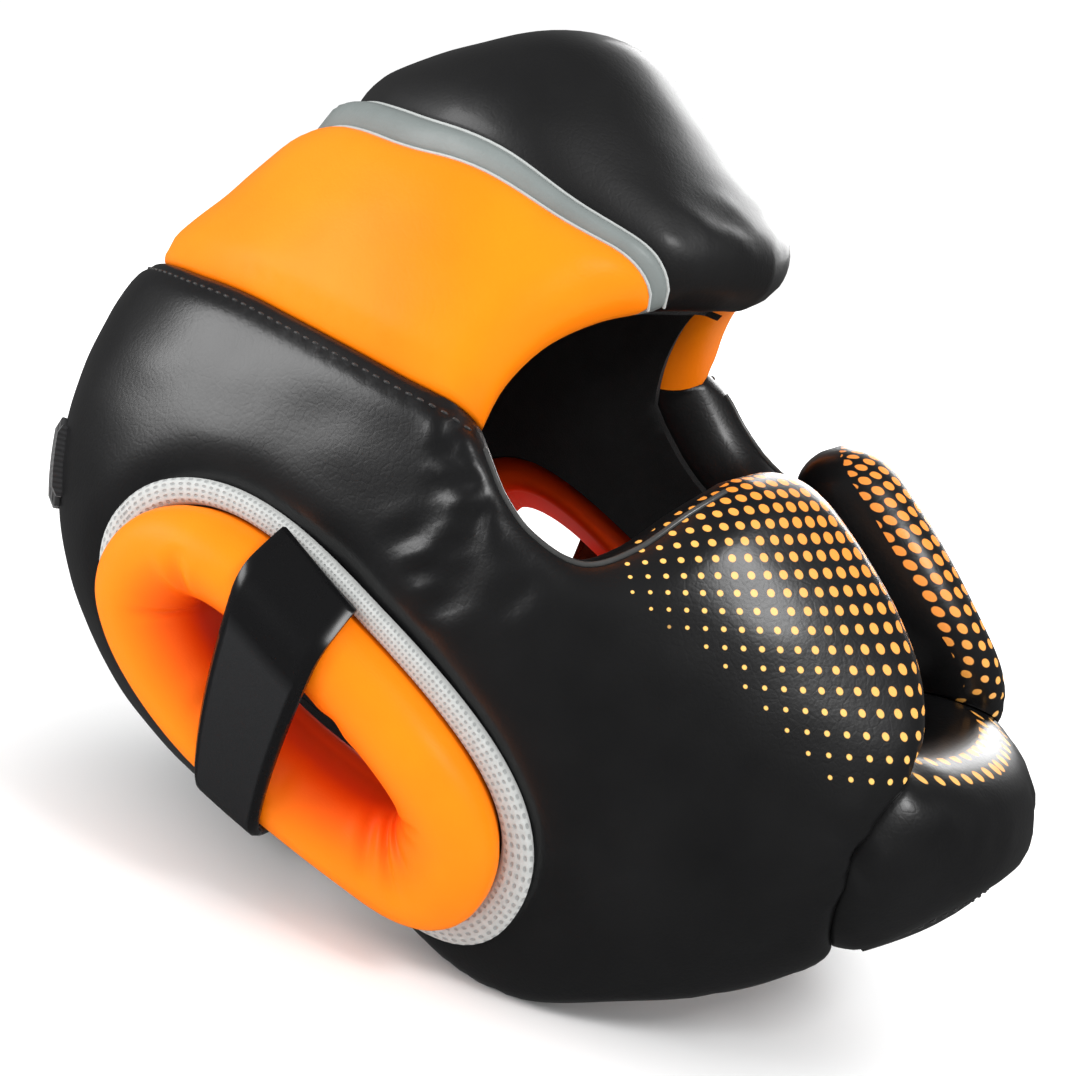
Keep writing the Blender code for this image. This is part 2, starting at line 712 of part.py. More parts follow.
def rest_frame():
    """Lean and lift that set the jaw and the nape on the table."""
    samples = []
    for side in (-1, 1):
        for table in (JAW_EDGE, NAPE_EDGE):
            edge = curve(table, 2.0, side)
            chart = Chart(92 * side, -2)
            for amount in np.arange(0.0, EDGE_ROLL, 1.0):
                moved = places(edge)
                moved[:, 2] += amount
                d = moved / np.linalg.norm(moved, axis=1, keepdims=True)
                samples.append(d * (reach(d) + outer_height(d))[:, None])
                samples.append(d * (reach(d) + inner_height(d))[:, None])
    low = np.vstack(samples)
    jaw, nape = low[low[:, 1] < 20.0], low[low[:, 1] > 40.0]
    small, large = 10.0, 45.0
    for _ in range(40):
        lean = 0.5 * (small + large)
        if leaned(jaw, lean)[:, 2].min() < leaned(nape, lean)[:, 2].min():
            small = lean
        else:
            large = lean
    return lean, -leaned(low, lean)[:, 2].min() - REST_PRESS


def leaned(p, lean):
    """Places after the head leans back by an angle."""
    a = math.radians(lean)
    y = p[:, 1] * math.cos(a) + p[:, 2] * math.sin(a)
    z = p[:, 2] * math.cos(a) - p[:, 1] * math.sin(a)
    return np.stack([p[:, 0], y, z], -1)


FINISHES = {
    "forehead_panel": ((0.012, 0.012, 0.013), 0.32),
    "grey_stripe": ((0.30, 0.33, 0.32), 0.5),
    "crown_panel": ((0.95, 0.36, 0.012), 0.42),
    "side_pad": ((0.012, 0.012, 0.013), 0.34),
    "chin_guard": ((0.012, 0.012, 0.013), 0.3),
    "chin_underside_strip": ((0.015, 0.015, 0.015), 0.6),
    "ear_ring": ((0.95, 0.33, 0.01), 0.42),
    "ear_trim": ((0.66, 0.68, 0.7), 0.5),
    "ear_strap": ((0.02, 0.02, 0.022), 0.35),
    "rear_strap": ((0.015, 0.015, 0.016), 0.45),
    "lining": ((0.014, 0.014, 0.015), 0.85),
}


def add_piece(name, verts, faces, back):
    if signed_volume(verts, faces) < 0:
        faces = [tuple(reversed(f)) for f in faces]
    p = np.array(verts)
    p[:, 1] += back
    mesh = bpy.data.meshes.new(name)
    mesh.from_pydata((p * MM).tolist(), [], [tuple(int(i) for i in f) for f in faces])
    mesh.update()
    item = bpy.data.objects.new(name, mesh)
    kind = next(k for k in FINISHES if name.startswith(k))
    colour, roughness = FINISHES[kind]
    mesh.materials.append(material(name, colour, roughness))
    bpy.context.scene.collection.objects.link(item)


def main():
    clear_scene()
    pieces = []
    for name, chart, loop, kinds, holes, top, bottom in pad_pieces(MESH_STEP):
        pieces.append((name, *sheet_mesh(chart, loop, kinds, holes, top, bottom, MESH_STEP)))
    for side, word in ((1, "left"), (-1, "right")):
        pieces.append(("ear_ring_" + word, *ring_mesh(side, EAR_POINT_COUNT, 12)))
        pieces.append(("ear_trim_" + word, *trim_mesh(side, EAR_POINT_COUNT)))
        pieces.append(("ear_strap_" + word, *ear_strap_mesh(side, 17, 4)))
    pieces.append(("rear_strap", *rear_strap_mesh(15, 4)))
    lean, lift = rest_frame()
    rested = []
    for name, verts, faces in pieces:
        p = leaned(np.asarray(verts), lean)
        p[:, 2] = np.maximum(p[:, 2] + lift, 0.0)
        rested.append((name, p, faces))
    run = np.concatenate([p[:, 1] for _, p, _ in rested])
    back = -0.5 * (run.min() + run.max())
    for name, p, faces in rested:
        add_piece(name, p, faces, back)


main()
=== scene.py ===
"""Looks of the boxing headgear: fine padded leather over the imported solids.
Shapes are worked out in the worn frame in mm, then leaned back on to the floor."""
import math

import bpy
import numpy as np
from mathutils import Matrix, Vector
from mathutils.geometry import delaunay_2d_cdt


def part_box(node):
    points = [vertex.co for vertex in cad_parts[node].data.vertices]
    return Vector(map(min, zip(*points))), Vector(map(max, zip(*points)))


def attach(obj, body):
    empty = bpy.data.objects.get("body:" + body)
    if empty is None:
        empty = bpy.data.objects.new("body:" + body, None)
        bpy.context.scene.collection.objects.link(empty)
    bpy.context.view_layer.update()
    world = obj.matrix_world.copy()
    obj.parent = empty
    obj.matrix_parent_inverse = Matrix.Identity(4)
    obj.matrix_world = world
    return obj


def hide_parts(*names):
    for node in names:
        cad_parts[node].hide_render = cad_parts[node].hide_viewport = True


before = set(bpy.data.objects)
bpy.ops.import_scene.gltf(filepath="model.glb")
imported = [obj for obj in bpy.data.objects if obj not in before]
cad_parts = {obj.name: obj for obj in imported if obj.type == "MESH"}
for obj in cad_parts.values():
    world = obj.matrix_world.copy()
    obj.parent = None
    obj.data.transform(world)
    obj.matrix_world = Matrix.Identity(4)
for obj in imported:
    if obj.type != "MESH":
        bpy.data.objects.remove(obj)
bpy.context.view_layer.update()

MM = 0.001
SIDES = ((1, "left"), (-1, "right"))

# Reach of the padded outside from the centre of the head
HALF_WIDTH = 97.0
FRONT_REACH = 122.0
REAR_REACH = 120.0
CROWN_REACH = 138.0
JAW_REACH = 140.0

# Padding and leather
PAD_THICKNESS = 26.0
LINING_THICKNESS = 2.0
STRIP_THICKNESS = 5.0
STRIP_SETBACK = 4.0
BAND_THICKNESS = 3.0
SEAM_DIP = 3.0
SEAM_REACH = 12.0
EDGE_ROLL = 14.0
PIECE_GAP = 0.5
LINING_GAP = 1.6
LINING_INSET = 9.5

# Ear opening: an oval ring leaning back at the top
EAR_AROUND = 100.5
EAR_UP = -13.5
EAR_LEAN = 28.0
RING_HALF_LENGTH = 49.0
RING_HALF_WIDTH = 22.0
RING_ROLL = 11.5
RING_HEIGHT = 14.0
RING_TAPER = 1.3
TRIM_WIDTH = 6.5
TRIM_HEIGHT = 1.8
TRIM_LEDGE = 3.0
TRIM_SEAT = 0.6
LINING_HOLE_MARGIN = 2.0
# Trim profile: share across, level from -1 to 1
TRIM_PROFILE = ((0.0, -1.0), (0.0, -0.1), (0.06, 0.6), (0.2, 0.95), (0.5, 1.0), (0.8, 0.95), (0.94, 0.6),
                (1.0, -0.2), (1.0, -0.7), (0.5, -1.0))

# Bands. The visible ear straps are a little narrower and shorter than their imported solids.
EAR_STRAP_WIDTH = 30.0
EAR_STRAP_WIDE_END = 0.98
EAR_STRAP_NARROW_END = 0.54
EAR_STRAP_START = 16.0
EAR_STRAP_SWEEP = 23.0
EAR_STRAP_OVERHANG = -3.5
REAR_STRAP_WIDTH = 24.0
REAR_STRAP_HALF_ARC = 42.0
REAR_STRAP_UP = 29.0

# Rest pose: jaw and nape touch the table, pressed flat by a little
REST_PRESS = 1.5

# Fine leather: valleys at the seams, pinched stitch lines, waves and thread
FINE_STEP = 2.5
LINING_STEP = 5.0
EAR_POINT_COUNT = 200
EDGE_OVAL_POINTS = 72
RING_SECTION_POINTS = 40
# Points along and across the bands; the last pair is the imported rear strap's
EAR_STRAP_POINTS = (97, 17)
REAR_STRAP_POINTS = (120, 9)
PACKED_STRAP_POINTS = (15, 4)
VALLEY_DEPTH = 1.3
VALLEY_REACH = 1.9
PINCH_DEPTH = 0.45
STITCH_OFFSET = 4.2
STITCH_PITCH = 3.6
STITCH_LENGTH = 2.4
THREAD_RADIUS = 0.42
THREAD_SIDES = 6
# A thread takes its direction from this far ahead and behind
THREAD_REACH = 0.8
# How far its ends sink and its middle stands proud, in radii
THREAD_SINK = 1.3
THREAD_RISE = 0.35
# Thread profile: share of its length, share of its radius
THREAD_SHAPE = ((-0.5, 0.1), (-0.42, 0.75), (-0.15, 1.0), (0.15, 1.0), (0.42, 0.75), (0.5, 0.1))
PINCH_WIDTH = 1.3
PIPING_SEAT = 0.6
LINE_STEP = 2.0
RIM_STEP_SHARE = 0.8
PIPING_RADIUS = 0.5
RIM_PIPING_RADIUS = 0.9
RIM_PIPING_INSET = 1.6
RIM_PIPING_SKIP = 4
STRIP_STITCH_OFFSET = 3.2
SOLID_START = 0.02
FINE_START = 0.003
# Waves of the padding: length and height
WAVES = ((75.0, 0.45), (36.0, 0.22), (17.0, 0.07))
WAVES_EACH = 6
WAVES_SEED = 11

# Outside form: share of the ellipsoid reach in each direction
# Columns: degrees up, front, front diagonal, side, rear diagonal, rear
FORM = (
    (-90, 0.93, 0.93, 0.93, 0.93, 0.93),
    (-72, 1.06, 1.08, 1.05, 0.88, 0.84),
    (-60, 1.20, 1.17, 1.09, 0.84, 0.79),
    (-45, 1.38, 1.20, 1.05, 0.84, 0.76),
    (-35, 1.33, 1.19, 1.02, 0.88, 0.79),
    (-20, 1.15, 1.14, 1.01, 0.97, 0.88),
    (0, 0.99, 1.07, 1.00, 1.06, 0.98),
    (20, 1.03, 1.06, 1.00, 1.12, 1.01),
    (38, 1.06, 1.07, 1.00, 1.10, 1.02),
    (55, 1.17, 1.10, 1.00, 1.05, 1.00),
    (72, 1.09, 1.06, 1.00, 0.98, 0.98),
    (90, 1.01, 1.01, 1.01, 1.01, 1.01),
)

# Padding depth: share of PAD_THICKNESS
# Columns: degrees up, front, side, rear
DEPTH = (
    (-90, 1.0, 0.9, 0.8),
    (-45, 1.40, 0.9, 0.8),
    (-20, 1.40, 0.86, 0.85),
    (0, 1.10, 0.86, 0.9),
    (25, 1.00, 0.9, 0.9),
    (55, 1.10, 0.95, 0.9),
    (90, 0.95, 0.95, 0.95),
)

# Outlines of one side. Columns: degrees round from the front, degrees up.
BROW_FRONT = ((0, 23), (10, 24), (21, 26))
BROW_STRIPE = ((21, 26), (24, 26.3))
BROW_SIDE = ((24, 26.3), (33, 27.2), (42, 26.6), (50, 23.6), (55.5, 19.0))
STRIPE_FRONT = ((21, 26), (25, 33), (32, 42), (39, 52), (44, 60), (48, 70), (50, 81), (0, 90))
STRIPE_REAR = ((24, 26.3), (29, 33), (36, 41.5), (45, 52), (52, 60), (67, 74), (112, 83), (180, 81.5))
TEMPLE_SEAM = ((55.5, 19), (59, 23), (65, 29), (76, 39), (93, 49.5), (116, 56), (142, 59), (180, 58))
EYE_RIM = ((55.5, 19), (55.5, 13), (55, 7), (53, 1), (48.5, -4.2), (42, -4.4), (33, -1.8), (23, 0.2))
CHEEK_EDGE = ((23, 0.2), (14.5, -0.6), (10.3, -4.5), (9, -11), (8.6, -18), (9.2, -24), (11.5, -29),
              (15, -33.5))
CHIN_LIP = ((15, -33.5), (8, -34.7), (0, -35))
CHIN_SIDE = ((15, -33.5), (21, -35.5), (26, -39.5), (28, -44.5), (26.5, -50.5), (20, -55.5))
CHIN_BASE = ((20, -55.5), (14.5, -50), (8, -46.8), (0, -45.8))
STRIP_SEAM = ((17.0, -52.7), (13.8, -49.7), (8, -46.95), (0, -45.95))
STRIP_END = ((17.0, -52.7), (14.5, -55.6))
STRIP_EDGE = ((14.5, -55.6), (9.5, -53.6), (4.5, -51.7), (0, -51.0))
JAW_EDGE = ((20, -55.5), (32, -61.5), (45, -63), (65, -62), (87, -62), (102, -58.5), (113, -50.5))
NAPE_EDGE = ((113, -50.5), (125, -45), (138, -42.5), (152, -43), (166, -44.5), (180, -45))

# Folds in the side pads, the brow and the chin. Columns: round and up at one end and at the other,
# half width and depth in mm.
FOLD_STRENGTH = 1.25
FOLD_SPREAD = 1.6
FOLD_BOW = 0.06
FOLDS = (
    (61.5, 24.5, 58.6, 20.6, 1.3, 0.9),
    (59.6, 19.6, 61.4, 14.8, 1.5, 1.1),
    (64.5, 17.2, 59.2, 13.4, 1.4, 0.9),
    (61.9, 13.6, 59.0, 8.8, 1.5, 1.1),
    (66.5, 12.5, 60.0, 9.8, 1.5, 0.8),
    (63.6, 5.6, 57.6, 7.4, 1.5, 1.2),
    (67.8, 2.0, 58.8, 5.0, 1.7, 1.3),
    (70.5, -1.6, 59.8, 1.8, 1.8, 1.2),
    (73.0, -5.0, 61.5, -2.0, 2.0, 1.0),
    (74.0, 0.6, 66.0, 1.6, 1.5, 0.7),
    (76.0, 6.4, 66.5, 7.0, 2.0, 0.6),
    (62.5, -7.6, 55.6, -4.4, 1.8, 0.8),
    (27.2, -38.0, 24.0, -44.0, 1.5, 1.2),
    (30.6, -36.4, 25.4, -37.6, 1.4, 0.8),
    (27.0, -41.6, 33.4, -44.0, 1.5, 0.7),
    (4.0, 29.0, 13.0, 31.5, 2.4, 0.7),
    (16.0, 28.0, 21.0, 33.0, 1.8, 0.6),
    (6.0, -37.0, 9.0, -42.0, 1.8, 0.7),
    (14.0, -37.0, 17.5, -43.0, 1.8, 0.8),
)
# Wrinkles of the ear ring. Columns: share of the way round, first and last level, half width, depth.
RING_FOLDS = (
    (0.42, 0.55, 1.0, 0.010, 1.1),
    (0.455, 0.50, 0.98, 0.008, 1.0),
    (0.49, 0.60, 1.0, 0.009, 0.8),
    (0.56, 0.62, 0.95, 0.008, 0.7),
    (0.93, 0.45, 0.80, 0.010, 1.5),
    (0.05, 0.60, 1.0, 0.009, 0.8),
    (0.18, 0.65, 1.0, 0.012, 0.6),
    (0.30, 0.60, 1.0, 0.012, 0.5),
    (0.70, 0.65, 1.0, 0.012, 0.6),
    (0.82, 0.60, 1.0, 0.010, 0.6),
)

# Share of the way over the ring's top where painted shade starts to turn its inside red-orange
RED_SHADE_START = 0.52

# Cheek print: dots in the photo's lattice, in degrees of arc on the cheek
PRINT_AROUND = 32.0
PRINT_UP = -17.0
PRINT_TURN = 14.0
PRINT_PITCH = 2.0
PRINT_SLANT = 1.12
PRINT_START = 5.0
PRINT_RUN = 17.0
PRINT_SMALL = 0.10
PRINT_LARGE = 0.36
PRINT_LEFT = -7.3
PRINT_FOOT = 7.6
PRINT_OFF = 60.0

# Camera, from the photograph: angles in the worn frame, sizes in pixels of the photograph
CAMERA_TURN_RISE_ROLL = (29.1, 0.1, -17.1)
CAMERA_DISTANCE = 700.0
PIXELS_PER_MM = 3.35
PHOTO_WIDTH = 1075.0
PHOTO_HEIGHT = 1076.0
CENTRE_X = 486.0
CENTRE_Y = 555.0
SENSOR_WIDTH = 36.0
CLIP_START = 0.05
CLIP_END = 100.0

# Studio
FLOOR = 12.0
WORLD_LIGHT = 1.16
WORLD_GLOSS = 0.10
LIGHT_TARGET = (0.0, 0.0, 0.14)
# Soft boxes: name, direction from the part, distance in m, width and height in m, watts
SOFT_BOXES = (
    ("right_box", (0.96, 0.10, 0.30), 1.1, 0.6, 0.6, 9.0),
    ("rear_box", (-0.58, 0.74, 0.32), 1.2, 0.8, 0.5, 8.5),
    ("front_box", (-0.27, -0.68, 0.68), 1.1, 0.3, 0.3, 5.0),
)

# Middle lines that the left and right pieces share
MIDDLE_TOP = ((180, 81.5), (180, 86), (0, 90))
MIDDLE_CROWN = ((180, 81.5), (180, 70), (180, 58))
MIDDLE_REAR = ((180, 58), (180, 20), (180, -45))
MIDDLE_CHIN = ((0, -35), (0, -45.8))
MIDDLE_LINING_REAR = ((180, -45), (180, 20), (180, 58), (180, 81.5))
MIDDLE_LINING_TOP = ((180, 81.5), (180, 86), (0, 90), (0, 60), (0, 23))


def direction(around, up):
    """Unit vectors; around is 0 at the front and 90 at the wearer's left."""
    a = np.radians(np.asarray(around, float))
    b = np.radians(np.asarray(up, float))
    return np.stack([np.cos(b) * np.sin(a), -np.cos(b) * np.cos(a), np.sin(b)], -1)


def angles(d):
    """Degrees round and up of unit vectors."""
    up = np.degrees(np.arcsin(np.clip(d[..., 2], -1.0, 1.0)))
    return np.degrees(np.arctan2(d[..., 0], -d[..., 1])), up


def smooth_rows(knots, rows, x):
    """Smooth curve through the rows of a table, one value per column."""
    knots = np.asarray(knots, float)
    rows = np.asarray(rows, float)
    slope = np.zeros_like(rows)
    slope[1:-1] = (rows[2:] - rows[:-2]) / (knots[2:] - knots[:-2])[:, None]
    slope[0] = (rows[1] - rows[0]) / (knots[1] - knots[0])
    slope[-1] = (rows[-1] - rows[-2]) / (knots[-1] - knots[-2])
    i = np.clip(np.searchsorted(knots, x) - 1, 0, len(knots) - 2)
    width = (knots[i + 1] - knots[i])[..., None]
    t = (np.asarray(x)[..., None] - knots[i][..., None]) / width
    value = (2 * t ** 3 - 3 * t ** 2 + 1) * rows[i] + (3 * t ** 2 - 2 * t ** 3) * rows[i + 1]
    bend = (t ** 3 - 2 * t ** 2 + t) * slope[i] + (t ** 3 - t ** 2) * slope[i + 1]
    return value + bend * width


def around_series(values, around):
    """Even series round the head through equally spaced columns."""
    count = values.shape[-1]
    places = np.linspace(0.0, math.pi, count)
    order = np.arange(count)
    weights = np.linalg.inv(np.cos(places[:, None] * order[None, :]))
    terms = np.cos(np.radians(around)[..., None] * order)
    return ((values @ weights.T) * terms).sum(-1)


def table_value(table, around, up):
    rows = np.array(table, float)
    values = smooth_rows(rows[:, 0], rows[:, 1:], np.clip(up, -90.0, 90.0))
    return around_series(values, around)


def reach(d):
    """Distance from the centre to the padded outside."""
    around, up = angles(d)
    y_reach = np.where(d[..., 1] < 0, FRONT_REACH, REAR_REACH)
    z_reach = np.where(d[..., 2] > 0, CROWN_REACH, JAW_REACH)
    scale = np.stack([np.full_like(y_reach, HALF_WIDTH), y_reach, z_reach], -1)
    return table_value(FORM, around, up) / np.linalg.norm(d / scale, axis=-1)


def depth(d):
    """Padding depth below the outside."""
    around, up = angles(d)
    return PAD_THICKNESS * table_value(DEPTH, around, up)


def curve(points, step, side=1):
    """Directions along a smooth curve through an outline table."""
    knots = direction([p[0] * side for p in points], [p[1] for p in points])
    fine = []
    count = len(knots)
    for i in range(count - 1):
        before = knots[max(i - 1, 0)]
        after = knots[min(i + 2, count - 1)]
        for t in np.linspace(0.0, 1.0, 24, endpoint=False):
            start_pull = (knots[i + 1] - before) * 0.5
            end_pull = (after - knots[i]) * 0.5
            value = (2 * t ** 3 - 3 * t ** 2 + 1) * knots[i]
            value = value + (3 * t ** 2 - 2 * t ** 3) * knots[i + 1]
            value = value + (t ** 3 - 2 * t ** 2 + t) * start_pull
            fine.append(value + (t ** 3 - t ** 2) * end_pull)
    fine.append(knots[-1])
    fine = np.array(fine)
    fine /= np.linalg.norm(fine, axis=1, keepdims=True)
    return resample(fine, step)


def run_length(p):
    """Length along a run of places, at each of them."""
    return np.concatenate([[0.0], np.cumsum(np.linalg.norm(np.diff(p, axis=0), axis=1))])


def resample(d, step):
    """Even spacing along a run of directions, measured on the outside."""
    place = d * reach(d)[:, None]
    length = run_length(place)
    count = max(1, int(round(length[-1] / step)))
    at = np.linspace(0.0, length[-1], count + 1)
    out = np.stack([np.interp(at, length, d[:, k]) for k in range(3)], -1)
    return out / np.linalg.norm(out, axis=1, keepdims=True)


class Chart:
    """Flat map of directions round one middle direction, in degrees of arc."""

    def __init__(self, around, up):
        self.middle = direction(around, up)
        self.east = np.cross(self.middle, (0.0, 0.0, 1.0))
        self.east /= -np.linalg.norm(self.east)
        self.north = np.cross(self.east, self.middle)
        self.north *= math.copysign(1.0, self.north[2])

    def flat(self, d):
        x = d @ self.east
        y = d @ self.north
        z = d @ self.middle
        side = np.hypot(x, y)
        angle = np.degrees(np.arctan2(side, z))
        share = angle / np.maximum(side, 1e-12)
        return np.stack([x * share, y * share], -1)

    def lift(self, p):
        angle = np.radians(np.linalg.norm(p, axis=-1))
        share = np.sin(angle) / np.maximum(np.degrees(angle), 1e-9)
        out = p[..., :1] * share[..., None] * self.east + p[..., 1:] * share[..., None] * self.north
        return out + np.cos(angle)[..., None] * self.middle


def inside(points, loop):
    """Even-odd test of flat points against a closed loop."""
    hit = np.zeros(len(points), bool)
    x, y = points[:, 0], points[:, 1]
    for a, b in zip(loop, np.roll(loop, -1, axis=0)):
        cross = (a[1] > y) != (b[1] > y)
        slope = (b[0] - a[0]) / (b[1] - a[1] if b[1] != a[1] else 1e-12)
        hit ^= cross & (x < a[0] + (y - a[1]) * slope)
    return hit


def nearest(points, runs):
    """Distance of each point to the nearest of several runs of places."""
    best = np.full(len(points), 1e9)
    for run in runs:
        for a, b in zip(run[:-1], run[1:]):
            line = b - a
            t = np.clip((points - a) @ line / max(line @ line, 1e-12), 0.0, 1.0)
            best = np.minimum(best, np.linalg.norm(points - a - t[:, None] * line, axis=1))
    return best


def places(d):
    return d * reach(d)[:, None]


def ear_chart(side):
    return Chart(EAR_AROUND * side, EAR_UP)


def ear_place(side, along, across):
    """Direction of a place in the ear oval: along its length, across to the rear."""
    chart = ear_chart(side)
    lean = math.radians(EAR_LEAN)
    rear = across * math.cos(lean) + along * math.sin(lean)
    high = along * math.cos(lean) - across * math.sin(lean)
    to_arc = math.degrees(1.0 / HALF_WIDTH)
    east_sign = math.copysign(1.0, chart.east[1])
    return chart.lift(np.stack([rear * to_arc * east_sign, high * to_arc], -1))


def oval(count, grow=0.0):
    """Places along and across on the ring's middle line, moved out by grow."""
    t = np.linspace(0.0, 2.0 * math.pi, 721)
    power = 2.0 / 2.4
    c, s = np.cos(t), np.sin(t)
    along = RING_HALF_LENGTH * np.sign(c) * np.abs(c) ** power
    across = RING_HALF_WIDTH * np.sign(s) * np.abs(s) ** power
    p = np.stack([along, across], -1)
    length = run_length(p)
    at = np.linspace(0.0, length[-1], count, endpoint=False)
    p = np.stack([np.interp(at, length, p[:, k]) for k in range(2)], -1)
    tangent = np.roll(p, -1, axis=0) - np.roll(p, 1, axis=0)
    tangent /= np.linalg.norm(tangent, axis=1, keepdims=True)
    normal = np.stack([tangent[:, 1], -tangent[:, 0]], -1)
    return p + normal * grow


def ear_oval(side, count, grow):
    """Directions round the ear ring's middle line, moved out by grow."""
    p = oval(count, grow)
    return ear_place(side, p[:, 0], p[:, 1])


class Edges:
    """Free edges, seams and ear holes that shape every pad."""

    def __init__(self, step=4.0):
        free, seam, ear = [], [], []
        for side in (-1, 1):
            for table in (BROW_FRONT, BROW_STRIPE, BROW_SIDE, EYE_RIM, CHEEK_EDGE, CHIN_LIP, JAW_EDGE,
                          NAPE_EDGE):
                free.append(places(curve(table, step, side)))
            for table in (STRIPE_FRONT, STRIPE_REAR, TEMPLE_SEAM, CHIN_SIDE, CHIN_BASE):
                seam.append(places(curve(table, step, side)))
            loop = ear_oval(side, EDGE_OVAL_POINTS, RING_ROLL)
            ear.append(places(np.vstack([loop, loop[:1]])))
        seam.append(places(curve(MIDDLE_LINING_REAR[::-1], step)))
        self.free, self.seam, self.ear = free, seam, ear

    def roll(self, p, start):
        """Share 0 at a free edge to 1 where the padding is full."""
        d = np.clip(nearest(p, self.free) / EDGE_ROLL + start, 0.0, 1.0)
        return np.sqrt(1.0 - (1.0 - d) ** 2)

    def dip(self, p, seam):
        d = np.clip(seam / SEAM_REACH, 0.0, 1.0)
        ear = np.clip((nearest(p, self.ear) - TRIM_WIDTH - 1.5) / SEAM_REACH, 0.0, 1.0)
        return SEAM_DIP * (1.0 - d) ** 2 + TRIM_LEDGE * (1.0 - ear) ** 2


EDGES = Edges()
STITCHED = [places(curve(table, 4.0, side)) for table in (TEMPLE_SEAM,) for side in (-1, 1)]


def outer_height(d):
    """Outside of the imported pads."""
    p = places(d)
    seam = nearest(p, EDGES.seam)
    return -0.5 * depth(d) * (1.0 - EDGES.roll(p, SOLID_START)) - EDGES.dip(p, seam)


def inner_height(d, start=SOLID_START):
    return -depth(d) * (1.0 - 0.5 * (1.0 - EDGES.roll(places(d), start)))


def fine_inner(d):
    return inner_height(d, FINE_START)


def soft_waves(p):
    """Slight unevenness of hand-stuffed padding."""
    dice = np.random.default_rng(WAVES_SEED)
    total = np.zeros(len(p))
    for length, height in WAVES:
        for _ in range(WAVES_EACH):
            axis = dice.normal(size=3)
            axis *= 2.0 * math.pi / (length * np.linalg.norm(axis))
            total += height / 2.4 * np.sin(p @ axis + dice.uniform(0.0, 6.28))
    return total


def folds(p):
    """Grooves with a raised lip on both sides, one for each row of the table."""
    total = np.zeros(len(p))
    for side in (-1, 1):
        for around, up, to_around, to_up, narrow, deep in FOLDS:
            width = narrow * FOLD_SPREAD
            start, end = places(direction([around * side, to_around * side], [up, to_up]))
            line = end - start
            length = np.linalg.norm(line)
            share = (p - start) @ line / length ** 2
            across = np.cross(line, start)
            across /= np.linalg.norm(across)
            off = (p - start) @ across - FOLD_BOW * length * (1.0 - (2.0 * share - 1.0) ** 2)
            near = (share > 0.0) & (share < 1.0) & (np.abs(off) < 5.0 * width) & (p @ start > 0.0)
            groove = np.exp(-(off / width) ** 2) - 0.5 * np.exp(-(np.abs(off) / width - 1.9) ** 2)
            ends = np.sin(np.pi * np.clip(share, 0.0, 1.0)) ** 0.7
            total -= np.where(near, FOLD_STRENGTH * deep * groove * ends, 0.0)
    return total


def leather_height(d):
    """Outside of a pad: rolled edges, seam valleys, pinched stitch lines, waves and folds."""
    p = places(d)
    seam = nearest(p, EDGES.seam)
    roll = EDGES.roll(p, FINE_START)
    h = -0.5 * depth(d) * (1.0 - roll) - EDGES.dip(p, seam) - VALLEY_DEPTH * np.exp(-seam / VALLEY_REACH)
    h -= PINCH_DEPTH * np.exp(-((nearest(p, STITCHED) - STITCH_OFFSET) / PINCH_WIDTH) ** 2)
    return h + soft_waves(p) * roll + folds(p) * roll


def chain(step, *runs):
    """One closed loop of directions with the kind of edge at each point.
    Each run: outline table, kind of edge, side, and whether it is taken backwards."""
    d, kind = [], []
    for table, edge_kind, side, backwards in runs:
        run = curve(table, step, side)
        if backwards:
            run = run[::-1]
        d.extend(run[:-1])
        kind.extend([edge_kind] * (len(run) - 1))
    return np.array(d), kind


# Rows of points beside each kind of edge, in mm from it
ROWS = {
    "free": (0.5, 1.3, 2.5, 4.2, 6.2),
    "seam": (0.8, 1.9, 3.5),
    "ear": (1.5, 3.5),
    "plain": (),
}


def shrink(d, chart, amount):
    """Move a closed loop inwards by an amount on the outside; returns both."""
    flat = chart.flat(d)
    area = 0.5 * np.sum(flat[:, 0] * np.roll(flat[:, 1], -1) - np.roll(flat[:, 0], -1) * flat[:, 1])
    place = places(d)
    tangent = np.roll(place, -1, axis=0) - np.roll(place, 1, axis=0)
    inward = np.cross(d, tangent) * math.copysign(1.0, area)
    inward /= np.linalg.norm(inward, axis=1, keepdims=True)
    moved = place + inward * amount
    return moved / np.linalg.norm(moved, axis=1, keepdims=True)


NEIGHBOURS = [(i, j, k) for i in (-1, 0, 1) for j in (-1, 0, 1) for k in (-1, 0, 1)]


def nearest_point(points, others):
    """Distance of each point to the nearest of some other points."""
    best = np.full(len(points), 1e9)
    for q in others:
        best = np.minimum(best, np.linalg.norm(points - q, axis=1))
    return best


